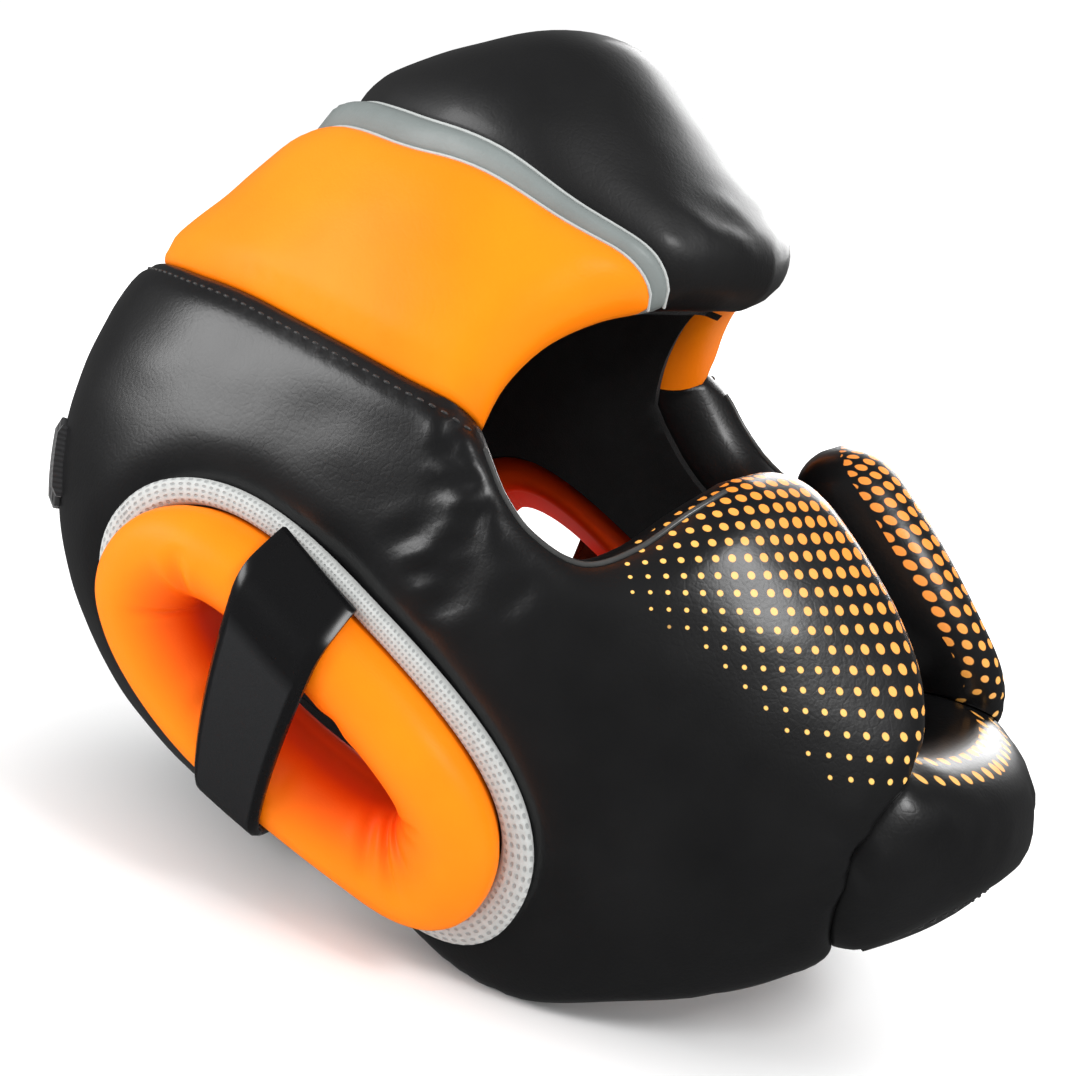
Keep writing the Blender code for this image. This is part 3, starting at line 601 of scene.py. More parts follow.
def sheet_mesh(chart, loop, kinds, holes, top, bottom, step):
    """Closed solid between two heights over an outlined patch of the outside."""
    rims = [(shrink(loop, chart, PIECE_GAP / 2), kinds, 1.0)]
    for hole, hole_kind in holes:
        rims.append((shrink(hole, chart, -PIECE_GAP / 2), [hole_kind] * len(hole), -1.0))
    flats = [chart.flat(r[0]) for r in rims]
    rim_places = np.vstack([places(r[0]) for r in rims])
    keep = []
    cells = {}

    def good(candidates, clear_rim, clear_kept):
        flat = chart.flat(candidates)
        ok = inside(flat, flats[0])
        for f in flats[1:]:
            ok &= ~inside(flat, f)
        p = places(candidates)
        gap = nearest_point(p, rim_places)
        ok &= gap >= clear_rim
        for i in np.nonzero(ok)[0]:
            key = tuple(np.floor(p[i] / step).astype(int))
            close = []
            for o in NEIGHBOURS:
                close += cells.get((key[0] + o[0], key[1] + o[1], key[2] + o[2]), ())
            if close and np.min(np.linalg.norm(np.array(close) - p[i], axis=1)) < clear_kept:
                continue
            cells.setdefault(key, []).append(p[i])
            keep.append(flat[i])

    for rim, rim_kinds, sign in rims:
        longest = max(len(ROWS[k]) for k in rim_kinds)
        for row in range(longest):
            amount = np.array([ROWS[k][row] if row < len(ROWS[k]) else 0.0 for k in rim_kinds])
            moved = shrink(rim, chart, (amount * sign)[:, None])
            chosen = amount > 0
            if not chosen.any():
                continue
            good(moved[chosen], 0.9 * amount[chosen], min(0.5 * step, 0.9 * amount.max()) * 0.55)
    low = flats[0].min(axis=0)
    high = flats[0].max(axis=0)
    arc = math.degrees(step / HALF_WIDTH)
    rows_y = np.arange(low[1], high[1], arc * 0.866)
    fill = []
    for j, y in enumerate(rows_y):
        shift = 0.5 * arc * (j % 2)
        fill.extend((x + shift, y) for x in np.arange(low[0], high[0], arc))
    fill = chart.lift(np.array(fill))
    good(fill, np.full(len(fill), 0.6 * step), 0.62 * step)

    points = [tuple(p) for f in flats for p in f] + [tuple(k) for k in keep]
    edges, start = [], 0
    for f in flats:
        edges += [(start + i, start + (i + 1) % len(f)) for i in range(len(f))]
        start += len(f)
    verts, _, faces, _, _, _ = delaunay_2d_cdt(points, edges, [], 0, 1e-7)
    verts = np.array([(v[0], v[1]) for v in verts])
    faces = np.array([f for f in faces])
    middle = verts[faces].mean(axis=1)
    ok = inside(middle, flats[0])
    for f in flats[1:]:
        ok &= ~inside(middle, f)
    faces = faces[ok]
    d = chart.lift(verts)
    a, b, c = d[faces[:, 0]], d[faces[:, 1]], d[faces[:, 2]]
    facing = np.einsum("ij,ij->i", np.cross(b - a, c - a), a)
    faces[facing < 0] = faces[facing < 0][:, ::-1]
    used = np.unique(faces)
    index = np.full(len(verts), -1)
    index[used] = np.arange(len(used))
    faces = index[faces]
    d = d[used]
    outside = reach(d)
    top_places = d * (outside + top(d))[:, None]
    bottom_places = d * (outside + bottom(d))[:, None]
    count = len(d)
    all_faces = [tuple(f) for f in faces] + [tuple(f[::-1] + count) for f in faces]
    seen = {}
    for f in faces:
        for i in range(3):
            seen[(f[i], f[(i + 1) % 3])] = True
    for a, b in list(seen):
        if (b, a) not in seen:
            all_faces.append((b, a, a + count))
            all_faces.append((b, a + count, b + count))
    return np.vstack([top_places, bottom_places]), all_faces


def closed_tube(sections, closed=True):
    """Solid swept through equal rings of places; open runs get end caps."""
    sections = np.asarray(sections)
    n, m = sections.shape[:2]
    verts = sections.reshape(-1, 3)
    faces = []
    for i in range(n if closed else n - 1):
        k = (i + 1) % n
        for j in range(m):
            l = (j + 1) % m
            faces.append((i * m + j, k * m + j, k * m + l))
            faces.append((i * m + j, k * m + l, i * m + l))
    if not closed:
        for j in range(1, m - 1):
            faces.append((0, j, j + 1))
            faces.append(((n - 1) * m, (n - 1) * m + j + 1, (n - 1) * m + j))
    return verts, faces


def ring_profile(count):
    """Ring section: share of the roll out from its middle line, level from 1 to -1."""
    top = [(math.cos(t), math.sin(t)) for t in np.linspace(0.0, math.pi, count // 2 + 1)]
    low = []
    for t in np.linspace(math.pi, 2.0 * math.pi, count // 2 + 1)[1:-1]:
        low.append((0.96 - RING_TAPER * 0.5 * (1.0 - math.cos(t)), math.sin(t)))
    return top, low


def taut(x, y):
    """Upper hull of a profile: the line a tight band takes over it."""
    hull = []
    for p in zip(x, y):
        while len(hull) > 1:
            (x1, y1), (x2, y2) = hull[-2], hull[-1]
            if (x2 - x1) * (p[1] - y1) - (y2 - y1) * (p[0] - x1) >= 0:
                hull.pop()
            else:
                break
        hull.append(p)
    return np.interp(x, [p[0] for p in hull], [p[1] for p in hull])


def ear_strap_sections(side, along_count, across_count):
    trim_end = RING_HALF_WIDTH + RING_ROLL + PIECE_GAP + TRIM_WIDTH
    half = trim_end + EAR_STRAP_OVERHANG
    w = np.linspace(-half, half, 241)
    under = np.full_like(w, -TRIM_LEDGE)
    for sign in (-1.0, 1.0):
        offset = (w * sign - RING_HALF_WIDTH) / RING_ROLL
        ring = RING_HEIGHT * np.sqrt(np.clip(1.0 - offset ** 2, 0.0, 1.0))
        under = np.where(np.abs(offset) < 1.0, np.maximum(under, ring), under)
        band = (w * sign > RING_HALF_WIDTH + 0.9 * RING_ROLL) & (w * sign < trim_end)
        under = np.where(band, np.maximum(under, TRIM_HEIGHT), under)
    line = taut(w, under) + 2.0 * PIECE_GAP
    stations = np.linspace(-half, half, along_count)
    height = np.interp(stations, w, line)
    sections = []
    for s, h in zip(stations, height):
        share = (s + half) / (2.0 * half)
        width = EAR_STRAP_WIDTH * (EAR_STRAP_WIDE_END + (EAR_STRAP_NARROW_END - EAR_STRAP_WIDE_END) * share)
        middle = EAR_STRAP_START - EAR_STRAP_SWEEP * share
        across = np.linspace(-0.5, 0.5, across_count)
        section = []
        for k in across:
            d = ear_place(side, middle + k * width, s)
            section.append(d * (float(reach(d)) + h + BAND_THICKNESS * (1.0 if abs(k) < 0.49 else 0.6)))
        for k in across[::-1]:
            d = ear_place(side, middle + k * width, s)
            section.append(d * (float(reach(d)) + h + (0.0 if abs(k) < 0.49 else 0.3)))
        sections.append(section)
    return sections


def rear_strap_mesh(along_count, across_count):
    sections = []
    for arc in np.linspace(-REAR_STRAP_HALF_ARC, REAR_STRAP_HALF_ARC, along_count):
        share = abs(arc) / REAR_STRAP_HALF_ARC
        half = 0.5 * REAR_STRAP_WIDTH * (1.0 if share < 0.95 else 0.8)
        top, low = [], []
        for k in np.linspace(-1.0, 1.0, across_count):
            d = direction(180.0 + arc, REAR_STRAP_UP + math.degrees(k * half / REAR_REACH))
            base = float(reach(d)) + PIECE_GAP
            top.append(d * (base + BAND_THICKNESS * (1.0 if abs(k) < 0.99 else 0.6)))
            low.append(d * (base + (0.0 if abs(k) < 0.99 else 0.3)))
        sections.append(top + low[::-1])
    return closed_tube(sections, closed=False)


def signed_volume(verts, faces):
    v = np.asarray(verts)
    f = np.asarray(faces)
    return np.einsum("ij,ij->i", v[f[:, 0]], np.cross(v[f[:, 1]], v[f[:, 2]])).sum() / 6.0


def pad_pieces(step, lining_step):
    """Every pad as name, chart, outline, kinds of edge, holes and the two heights."""
    rim = RIM_STEP_SHARE * step
    pads = []

    def pad(name, chart, outline, holes=(), heights=(leather_height, fine_inner)):
        pads.append((name, chart, *outline, holes, *heights))

    pad("forehead_panel", Chart(0, 55), chain(
        rim,
        (BROW_FRONT, "free", 1, False),
        (STRIPE_FRONT, "seam", 1, False),
        (STRIPE_FRONT, "seam", -1, True),
        (BROW_FRONT, "free", -1, True),
    ))
    for side, word in SIDES:
        pad("grey_stripe_" + word, Chart(40 * side, 58), chain(
            rim,
            (BROW_STRIPE, "free", side, False),
            (STRIPE_REAR, "seam", side, False),
            (MIDDLE_TOP, "seam", side, False),
            (STRIPE_FRONT, "seam", side, True),
        ))
        pad("crown_panel_" + word, Chart(85 * side, 60), chain(
            rim,
            (BROW_SIDE, "free", side, False),
            (TEMPLE_SEAM, "seam", side, False),
            (MIDDLE_CROWN, "seam", side, True),
            (STRIPE_REAR, "seam", side, True),
        ))
        pad("side_pad_" + word, Chart(92 * side, -2), chain(
            rim,
            (TEMPLE_SEAM, "seam", side, False),
            (MIDDLE_REAR, "seam", side, False),
            (NAPE_EDGE, "free", side, True),
            (JAW_EDGE, "free", side, True),
            (CHIN_SIDE, "seam", side, True),
            (CHEEK_EDGE, "free", side, True),
            (EYE_RIM, "free", side, True),
        ), [(ear_oval(side, EAR_POINT_COUNT, RING_ROLL), "ear")])
    pad("chin_guard", Chart(0, -45), chain(
        rim,
        (CHIN_LIP, "free", -1, False),
        (CHIN_LIP, "free", 1, True),
        (CHIN_SIDE, "seam", 1, False),
        (CHIN_BASE, "seam", 1, False),
        (CHIN_BASE, "seam", -1, True),
        (CHIN_SIDE, "seam", -1, True),
    ))
    pad("chin_underside_strip", Chart(0, -50), chain(
        rim,
        (STRIP_SEAM, "plain", 1, False),
        (STRIP_SEAM, "plain", -1, True),
        (STRIP_END, "plain", -1, False),
        (STRIP_EDGE, "plain", -1, False),
        (STRIP_EDGE, "plain", 1, True),
        (STRIP_END, "plain", 1, True),
    ), heights=(strip_top, strip_bottom))
    for side, word in SIDES:
        chart = Chart(95 * side, 5)
        loop, kinds = chain(
            lining_step,
            (BROW_FRONT, "inset", side, False),
            (BROW_STRIPE, "inset", side, False),
            (BROW_SIDE, "inset", side, False),
            (EYE_RIM, "inset", side, False),
            (CHEEK_EDGE, "inset", side, False),
            (CHIN_LIP, "inset", side, False),
            (MIDDLE_CHIN, "plain", side, False),
            (CHIN_BASE, "inset", side, True),
            (JAW_EDGE, "inset", side, False),
            (NAPE_EDGE, "inset", side, False),
            (MIDDLE_LINING_REAR, "plain", side, False),
            (MIDDLE_LINING_TOP, "plain", side, False),
        )
        loop = inset_loop(loop, kinds, chart)
        hole = ear_oval(side, EAR_POINT_COUNT, RING_ROLL + LINING_HOLE_MARGIN)
        pad("lining_" + word, chart, (loop, ["plain"] * len(loop)), [(hole, "plain")],
            (lining_top, lining_bottom))
    return pads


def inset_loop(loop, kinds, chart):
    """Draw an outline in from the free edges and keep its middle line in place."""
    free = np.array([k == "inset" for k in kinds])
    corner = (free != np.roll(free, 1)) | (free & (np.abs(loop[:, 0]) < 1e-6))
    amount = np.where(corner, 1.3 * LINING_INSET, np.where(free, LINING_INSET, 0.0))
    middle = np.abs(loop[:, 0]) < 1e-6
    moved = shrink(loop, chart, amount[:, None])
    moved[middle, 0] = 0.0
    return moved / np.linalg.norm(moved, axis=1, keepdims=True)


def strip_top(d):
    return np.full(len(d), -STRIP_SETBACK)


def strip_bottom(d):
    return np.full(len(d), -STRIP_SETBACK - STRIP_THICKNESS)


def lining_top(d):
    return inner_height(d) - LINING_GAP


def lining_bottom(d):
    return inner_height(d) - LINING_GAP - LINING_THICKNESS


def rest_frame():
    """Lean and lift that set the jaw and the nape on the table."""
    samples = []
    for side in (-1, 1):
        for table in (JAW_EDGE, NAPE_EDGE):
            edge = curve(table, 2.0, side)
            chart = Chart(92 * side, -2)
            for amount in np.arange(0.0, EDGE_ROLL, 1.0):
                moved = places(edge)
                moved[:, 2] += amount
                d = moved / np.linalg.norm(moved, axis=1, keepdims=True)
                samples.append(d * (reach(d) + outer_height(d))[:, None])
                samples.append(d * (reach(d) + inner_height(d))[:, None])
    low = np.vstack(samples)
    jaw, nape = low[low[:, 1] < 20.0], low[low[:, 1] > 40.0]
    small, large = 10.0, 45.0
    for _ in range(40):
        lean = 0.5 * (small + large)
        if leaned(jaw, lean)[:, 2].min() < leaned(nape, lean)[:, 2].min():
            small = lean
        else:
            large = lean
    return lean, -leaned(low, lean)[:, 2].min() - REST_PRESS


def leaned(p, lean):
    """Places after the head leans back by an angle."""
    a = math.radians(lean)
    y = p[:, 1] * math.cos(a) + p[:, 2] * math.sin(a)
    z = p[:, 2] * math.cos(a) - p[:, 1] * math.sin(a)
    return np.stack([p[:, 0], y, z], -1)


class Wire:
    """A shader socket that takes part in Python expressions."""

    def __init__(self, finish, socket):
        self.finish = finish
        self.socket = socket

    def math(self, operation, *others):
        return self.finish.node("ShaderNodeMath", {"operation": operation}, dict(enumerate((self, *others))))

    def __add__(self, other):
        return self.math("ADD", other)

    def __sub__(self, other):
        return self.math("SUBTRACT", other)

    def __rsub__(self, other):
        return self.finish.node("ShaderNodeMath", {"operation": "SUBTRACT"}, {0: other, 1: self})

    def __mul__(self, other):
        return self.math("MULTIPLY", other)

    def __truediv__(self, other):
        return self.math("DIVIDE", other)

    def __pow__(self, other):
        return self.math("POWER", other)

    __radd__ = __add__
    __rmul__ = __mul__

    def clamped(self):
        return self.math("MAXIMUM", 0.0).math("MINIMUM", 1.0)

    def step(self, edge, soft):
        """0 below the edge and 1 above it, with a soft change."""
        return ((self - edge) / soft + 0.5).clamped()


class Finish:
    """One material, with its Principled shader and the nodes that feed it."""

    def __init__(self, name, roughness, coat=0.0, coat_roughness=0.2, sheen=0.0, specular=0.5):
        self.material = bpy.data.materials.new(name)
        self.material.use_nodes = True
        self.tree = self.material.node_tree
        self.shader = next(n for n in self.tree.nodes if n.type == "BSDF_PRINCIPLED")
        constants = {"Roughness": roughness, "Coat Weight": coat, "Coat Roughness": coat_roughness,
                     "Sheen Weight": sheen, "Sheen Roughness": 0.5, "Specular IOR Level": specular}
        for socket, value in constants.items():
            self.shader.inputs[socket].default_value = value
        self.place = self.node("ShaderNodeTexCoord", {}, {}, "Object")
        self.print_place = self.node("ShaderNodeUVMap", {"uv_map": "print"}, {}, "UV")

    def node(self, kind, settings, values, output=0):
        made = self.tree.nodes.new(kind)
        for key, value in settings.items():
            setattr(made, key, value)
        for key, value in values.items():
            if isinstance(value, Wire):
                self.tree.links.new(value.socket, made.inputs[key])
            else:
                made.inputs[key].default_value = value
        return Wire(self, made.outputs[output])

    def noise(self, scale, detail=2.0, rough=0.5):
        return self.node("ShaderNodeTexNoise", {}, {"Vector": self.place, "Scale": scale, "Detail": detail,
                                                    "Roughness": rough}, "Fac")

    def cells(self, scale, feature="F1"):
        return self.node("ShaderNodeTexVoronoi", {"feature": feature}, {"Vector": self.place, "Scale": scale},
                         "Distance")

    def split(self, vector):
        made = self.tree.nodes.new("ShaderNodeSeparateXYZ")
        self.tree.links.new(vector.socket, made.inputs[0])
        return [Wire(self, made.outputs[k]) for k in range(3)]

    def mix(self, share, first, second):
        values = {0: share, 6: first, 7: second}
        return self.node("ShaderNodeMix", {"data_type": "RGBA"}, values, 2)

    def bump(self, height, strength, distance):
        values = {"Height": height, "Strength": strength, "Distance": distance}
        self.feed("Normal", self.node("ShaderNodeBump", {}, values))

    def feed(self, socket, wire):
        self.tree.links.new(wire.socket, self.shader.inputs[socket])


def colour(red, green, blue):
    return (red, green, blue, 1.0)


BLACK = colour(0.0045, 0.0045, 0.005)
WORN_BLACK = colour(0.009, 0.009, 0.0095)
ORANGE = colour(1.0, 0.245, 0.003)
DEEP_ORANGE = colour(0.96, 0.19, 0.002)
# Painted shade: red-orange for the bottom of the ear ring's hole
HOLE_SHADE_RED_ORANGE = colour(0.85, 0.055, 0.003)
GOLD = colour(0.95, 0.52, 0.12)
PRINT_ORANGE = colour(0.95, 0.30, 0.03)


def leather_grain(finish, strength):
    """Pebbled grain with fine creases between the pebbles."""
    pebbles = finish.cells(900.0)
    creases = finish.cells(330.0, "DISTANCE_TO_EDGE").math("MINIMUM", 0.12) * 4.0
    wear = finish.noise(160.0, 4.0, 0.6)
    finish.bump(pebbles * 0.35 + creases * 0.35 + wear * 0.6, strength, 0.0004)


def black_leather(name, rough, printed=False):
    """Black grained leather, with the cheek's dots where it is printed."""
    finish = Finish(name, rough, coat=0.15, coat_roughness=0.2, specular=0.5)
    cloud = finish.noise(28.0, 3.0)
    leather = finish.mix(cloud.step(0.55, 0.5), BLACK, WORN_BLACK)
    roughness = rough + finish.noise(45.0, 4.0) * 0.10
    if printed:
        dots, warm = halftone(finish)
        leather = finish.mix(dots, leather, finish.mix(warm, GOLD, PRINT_ORANGE))
        roughness = roughness + dots * 0.08
    finish.feed("Base Color", leather)
    finish.feed("Roughness", roughness)
    leather_grain(finish, 0.16)
    return finish.material


def halftone(finish):
    """Dots on a square grid that grow away from a slanting edge; also how warm they are."""
    across, down, _ = finish.split(finish.print_place)
    near_x = across - across.math("ROUND")
    near_y = down - down.math("ROUND")
    column, row = across.math("ROUND"), down.math("ROUND")
    growth = column - row * PRINT_SLANT + PRINT_START
    radius = PRINT_SMALL + (growth / PRINT_RUN).clamped() * (PRINT_LARGE - PRINT_SMALL)
    distance = (near_x * near_x + near_y * near_y) ** 0.5
    inside_print = growth.step(0.0, 0.01) * column.step(PRINT_LEFT, 0.01) * (1.0 - row.step(PRINT_FOOT, 0.01))
    dots = (1.0 - distance.step(radius, 0.05)) * inside_print
    return dots, (growth / PRINT_RUN * 1.3 - 0.25).clamped()


def orange_leather(name, ring=False):
    """Orange leather; on the ear ring, painted shade turns it red-orange towards the bottom of its hole."""
    finish = Finish(name, 0.42, specular=0.12)
    tone = finish.mix(finish.noise(22.0, 3.0).step(0.5, 0.6), DEEP_ORANGE, ORANGE)
    if ring:
        # Painted shade: the ring's inside goes red-orange deeper in the hole, where shade falls
        inward, _, _ = finish.split(finish.print_place)
        tone = finish.mix(inward, tone, HOLE_SHADE_RED_ORANGE)
    finish.feed("Base Color", tone)
    finish.feed("Roughness", 0.38 + finish.noise(60.0, 3.0) * 0.1)
    leather_grain(finish, 0.14)
    return finish.material


def grey_leather():
    finish = Finish("grey_leather", 0.42, coat=0.05, coat_roughness=0.3, specular=0.35)
    tone = finish.noise(40.0, 4.0).step(0.5, 0.7)
    finish.feed("Base Color", finish.mix(tone, colour(0.155, 0.175, 0.17), colour(0.21, 0.235, 0.23)))
    finish.feed("Roughness", 0.4 + finish.noise(90.0) * 0.12)
    leather_grain(finish, 0.2)
    return finish.material


def grey_piping():
    finish = Finish("grey_piping", 0.5)
    finish.feed("Base Color", finish.mix(finish.noise(300.0), colour(0.38, 0.40, 0.39),
                                         colour(0.50, 0.52, 0.51)))
    finish.bump(finish.noise(1500.0), 0.3, 0.0003)
    return finish.material


def dark_piping():
    finish = Finish("dark_piping", 0.3, coat=0.3)
    finish.feed("Base Color", finish.mix(finish.noise(200.0), colour(0.03, 0.031, 0.031),
                                         colour(0.07, 0.07, 0.068)))
    finish.bump(finish.noise(900.0), 0.2, 0.0003)
    return finish.material


def spacer_mesh():
    """Light grey knitted mesh round the ear, with small staggered holes."""
    finish = Finish("spacer_mesh", 0.72, sheen=0.2, specular=0.3)
    along, across, _ = finish.split(finish.print_place)
    wave = (along * math.pi).math("SINE") * (across * math.pi).math("SINE")
    holes = wave.math("ABSOLUTE").step(0.72, 0.3)
    yarn = finish.mix(finish.noise(500.0, 4.0), colour(0.36, 0.37, 0.36), colour(0.52, 0.53, 0.52))
    finish.feed("Base Color", finish.mix(holes * 0.55, yarn, colour(0.16, 0.17, 0.17)))
    finish.bump(finish.noise(1400.0, 3.0) * 0.4 - holes, 0.6, 0.0006)
    return finish.material


def strap_cover():
    """Matt face between two glossy folded borders."""
    finish = Finish("strap_cover", 0.5, coat=0.1, coat_roughness=0.2, specular=0.4)
    along, across, _ = finish.split(finish.print_place)
    border = across.math("ABSOLUTE").step(0.80, 0.06)
    fold = 1.0 - along.step(0.27, 0.05)
    glossy = border.math("MAXIMUM", fold)
    finish.feed("Base Color", finish.mix(glossy, colour(0.013, 0.0135, 0.015), BLACK))
    finish.feed("Roughness", 0.55 - glossy * 0.3 + finish.noise(200.0) * 0.05)
    weave = (finish.noise(1300.0, 2.0)) * (1.0 - glossy) * 0.6 + finish.noise(130.0, 3.0) * glossy * 0.3
    finish.bump(weave, 0.25, 0.0005)
    return finish.material


def webbing():
    """Ribbed band cloth."""
    finish = Finish("webbing", 0.6, sheen=0.2)
    along, across, _ = finish.split(finish.print_place)
    ribs = (along * 140.0).math("SINE") * 0.5 + (across * 42.0).math("SINE") * 0.5
    finish.feed("Base Color", finish.mix(ribs.step(0.2, 1.2), colour(0.012, 0.012, 0.013),
                                         colour(0.03, 0.03, 0.032)))
    finish.bump(ribs, 0.5, 0.0006)
    return finish.material


def black_suede():
    finish = Finish("black_suede", 0.92, sheen=0.1)
    nap = finish.noise(70.0, 5.0, 0.7)
    finish.feed("Base Color", finish.mix(nap.step(0.5, 0.4), colour(0.004, 0.004, 0.0045),
                                         colour(0.009, 0.009, 0.0095)))
    finish.bump(finish.noise(1800.0, 3.0, 0.7), 0.5, 0.0008)
    return finish.material


def thread(name, tone):
    finish = Finish(name, 0.45, sheen=0.1)
    finish.feed("Base Color", finish.mix(finish.noise(1500.0), colour(*[t * 0.7 for t in tone]),
                                         colour(*tone)))
    finish.bump(finish.noise(2500.0), 0.4, 0.0002)
    return finish.material


def on_floor(p):
    """Worn-frame places leaned back, set down on the floor and centred."""
    q = leaned(np.asarray(p, float), LEAN)
    q[:, 1] += BACK
    q[:, 2] = np.maximum(q[:, 2] + LIFT, 0.0)
    return q


def add_piece(name, verts, faces, finish, nodes=(), prints=None, bare_from=None):
    """A mesh that rides on the headgear and stands for its nodes.
    Faces with a vertex from number bare_from on get no print."""
    if len(faces[0]) == 3 and signed_volume(verts, faces) < 0:
        faces = [tuple(reversed(f)) for f in faces]
    mesh = bpy.data.meshes.new(name)
    mesh.from_pydata((on_floor(verts) * MM).tolist(), [], [tuple(int(i) for i in f) for f in faces])
    mesh.update()
    if prints is not None:
        layer = mesh.uv_layers.new(name="print")
        corners = np.empty(len(mesh.loops), np.int32)
        mesh.loops.foreach_get("vertex_index", corners)
        places_of_corners = np.asarray(prints, np.float32)[corners]
        if bare_from is not None:
            bare = (corners.reshape(-1, 3) >= bare_from).any(axis=1)
            places_of_corners.reshape(-1, 3, 2)[bare] = PRINT_OFF
        layer.data.foreach_set("uv", places_of_corners.ravel())
    mesh.shade_smooth()
    mesh.set_sharp_from_angle(angle=math.radians(60.0))
    mesh.materials.append(finish)
    piece = bpy.data.objects.new(name, mesh)
    bpy.context.scene.collection.objects.link(piece)
    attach(piece, "root")
    if nodes:
        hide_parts(*nodes)
    return piece


def rolled_out(d):
    """Directions moved on past the free edges by the extra length of the rolled border."""
    p = places(d)
    gap = np.full(len(p), 1e9)
    foot = np.zeros_like(p)
    for run in EDGES.free:
        for a, b in zip(run[:-1], run[1:]):
            line = b - a
            t = np.clip((p - a) @ line / max(line @ line, 1e-12), 0.0, 1.0)
            at = a + t[:, None] * line
            length = np.linalg.norm(p - at, axis=1)
            closer = length < gap
            gap = np.where(closer, length, gap)
            foot[closer] = at[closer]
    share = np.clip(gap / EDGE_ROLL, 0.0, 1.0)
    drop = 0.5 * depth(d) * (1.0 - np.sqrt(1.0 - (1.0 - share) ** 2))
    flat_part = EDGE_ROLL * (1.0 - share)
    extra = np.hypot(drop, flat_part) * 1.05 - flat_part
    outward = (foot - p) / np.maximum(gap, 0.05)[:, None]
    moved = p + outward * np.maximum(extra, 0.0)[:, None]
    return moved / np.linalg.norm(moved, axis=1, keepdims=True)


def print_places(verts):
    """Grid places of the cheek print, in dots across and down, mirrored on the left."""
    d = rolled_out(np.asarray(verts) / np.linalg.norm(verts, axis=1, keepdims=True))
    side = np.where(d[:, 0] < 0, -1.0, 1.0)
    mirrored = d * np.stack([-side, np.ones_like(side), np.ones_like(side)], -1)
    flat = Chart(-PRINT_AROUND, PRINT_UP).flat(mirrored)
    turn = math.radians(PRINT_TURN)
    across = flat[:, 0] * math.cos(turn) - flat[:, 1] * math.sin(turn)
    down = -flat[:, 0] * math.sin(turn) - flat[:, 1] * math.cos(turn)
    return np.stack([across, down], -1) / PRINT_PITCH


def sewn_run(run, offset, height_of, toward):
    """Outward directions and places of a line beside a seam, on the side of another direction."""
    p = places(run)
    tangent = np.gradient(p, axis=0)
    beside = np.cross(run, tangent)
    beside /= np.linalg.norm(beside, axis=1, keepdims=True)
    moved = p + beside * offset * math.copysign(1.0, float((beside @ toward).mean()))
    d = moved / np.linalg.norm(moved, axis=1, keepdims=True)
    return d, d * (reach(d) + height_of(d))[:, None]


def stitch_mesh(lines):
    """Short rounded threads along lines of places, each with its outward directions."""
    verts, faces = [], []
    sides = THREAD_SIDES
    for d, p in lines:
        run = run_length(p)
        count = int(run[-1] / STITCH_PITCH)

        def value_at(at, values):
            return np.array([np.interp(at, run, values[:, k]) for k in range(3)])

        for i in range(count):
            at = (i + 0.5) * run[-1] / count
            middle = value_at(at, p)
            ahead = value_at(min(at + THREAD_REACH, run[-1]), p)
            behind = value_at(max(at - THREAD_REACH, 0.0), p)
            line = (ahead - behind) / np.linalg.norm(ahead - behind)
            cross = np.cross(line, value_at(at, d))
            cross /= np.linalg.norm(cross)
            out = np.cross(cross, line)
            first = len(verts)
            for share, swell in THREAD_SHAPE:
                rise = THREAD_RADIUS * (THREAD_RISE - THREAD_SINK * (2.0 * share) ** 4)
                centre = middle + line * share * STITCH_LENGTH + out * rise
                for k in range(sides):
                    turn = 2.0 * math.pi * k / sides
                    ring = cross * math.cos(turn) + out * math.sin(turn)
                    verts.append(centre + ring * THREAD_RADIUS * swell)
            for j in range(len(THREAD_SHAPE) - 1):
                for k in range(sides):
                    a = first + j * sides + k
                    b = first + j * sides + (k + 1) % sides
                    faces.append((a, b, b + sides))
                    faces.append((a, b + sides, a + sides))
            last = first + (len(THREAD_SHAPE) - 1) * sides
            for k in range(1, sides - 1):
                faces.append((first, first + k + 1, first + k))
                faces.append((last, last + k, last + k + 1))
    return np.array(verts), faces


def cord_mesh(centres, outs, radius, closed=False, sides=8):
    """Round cord through places."""
    centres = np.asarray(centres)
    tangent = np.gradient(centres, axis=0)
    if closed:
        tangent = np.roll(centres, -1, axis=0) - np.roll(centres, 1, axis=0)
    tangent /= np.linalg.norm(tangent, axis=1, keepdims=True)
    cross = np.cross(tangent, outs)
    cross /= np.linalg.norm(cross, axis=1, keepdims=True)
    out = np.cross(cross, tangent)
    turns = np.linspace(0.0, 2.0 * math.pi, sides, endpoint=False)
    rings = [centres + radius * (cross * math.cos(t) + out * math.sin(t)) for t in turns]
    return closed_tube(np.stack(rings, 1), closed)


def ring_fold_depth(share, level):
    """How deep the ear ring's wrinkles are at a share of the way round and level of its top."""
    total = 0.0
    for at, first, last, width, deep in RING_FOLDS:
        off = (share - at + 0.5) % 1.0 - 0.5 + 0.02 * (level - first)
        ends = math.sin(math.pi * min(max((level - first) / (last - first), 0.0), 1.0)) ** 0.6
        total += deep * ends * (math.exp(-(off / width) ** 2) - 0.4 * math.exp(-(abs(off) / width - 1.8) ** 2))
    return total


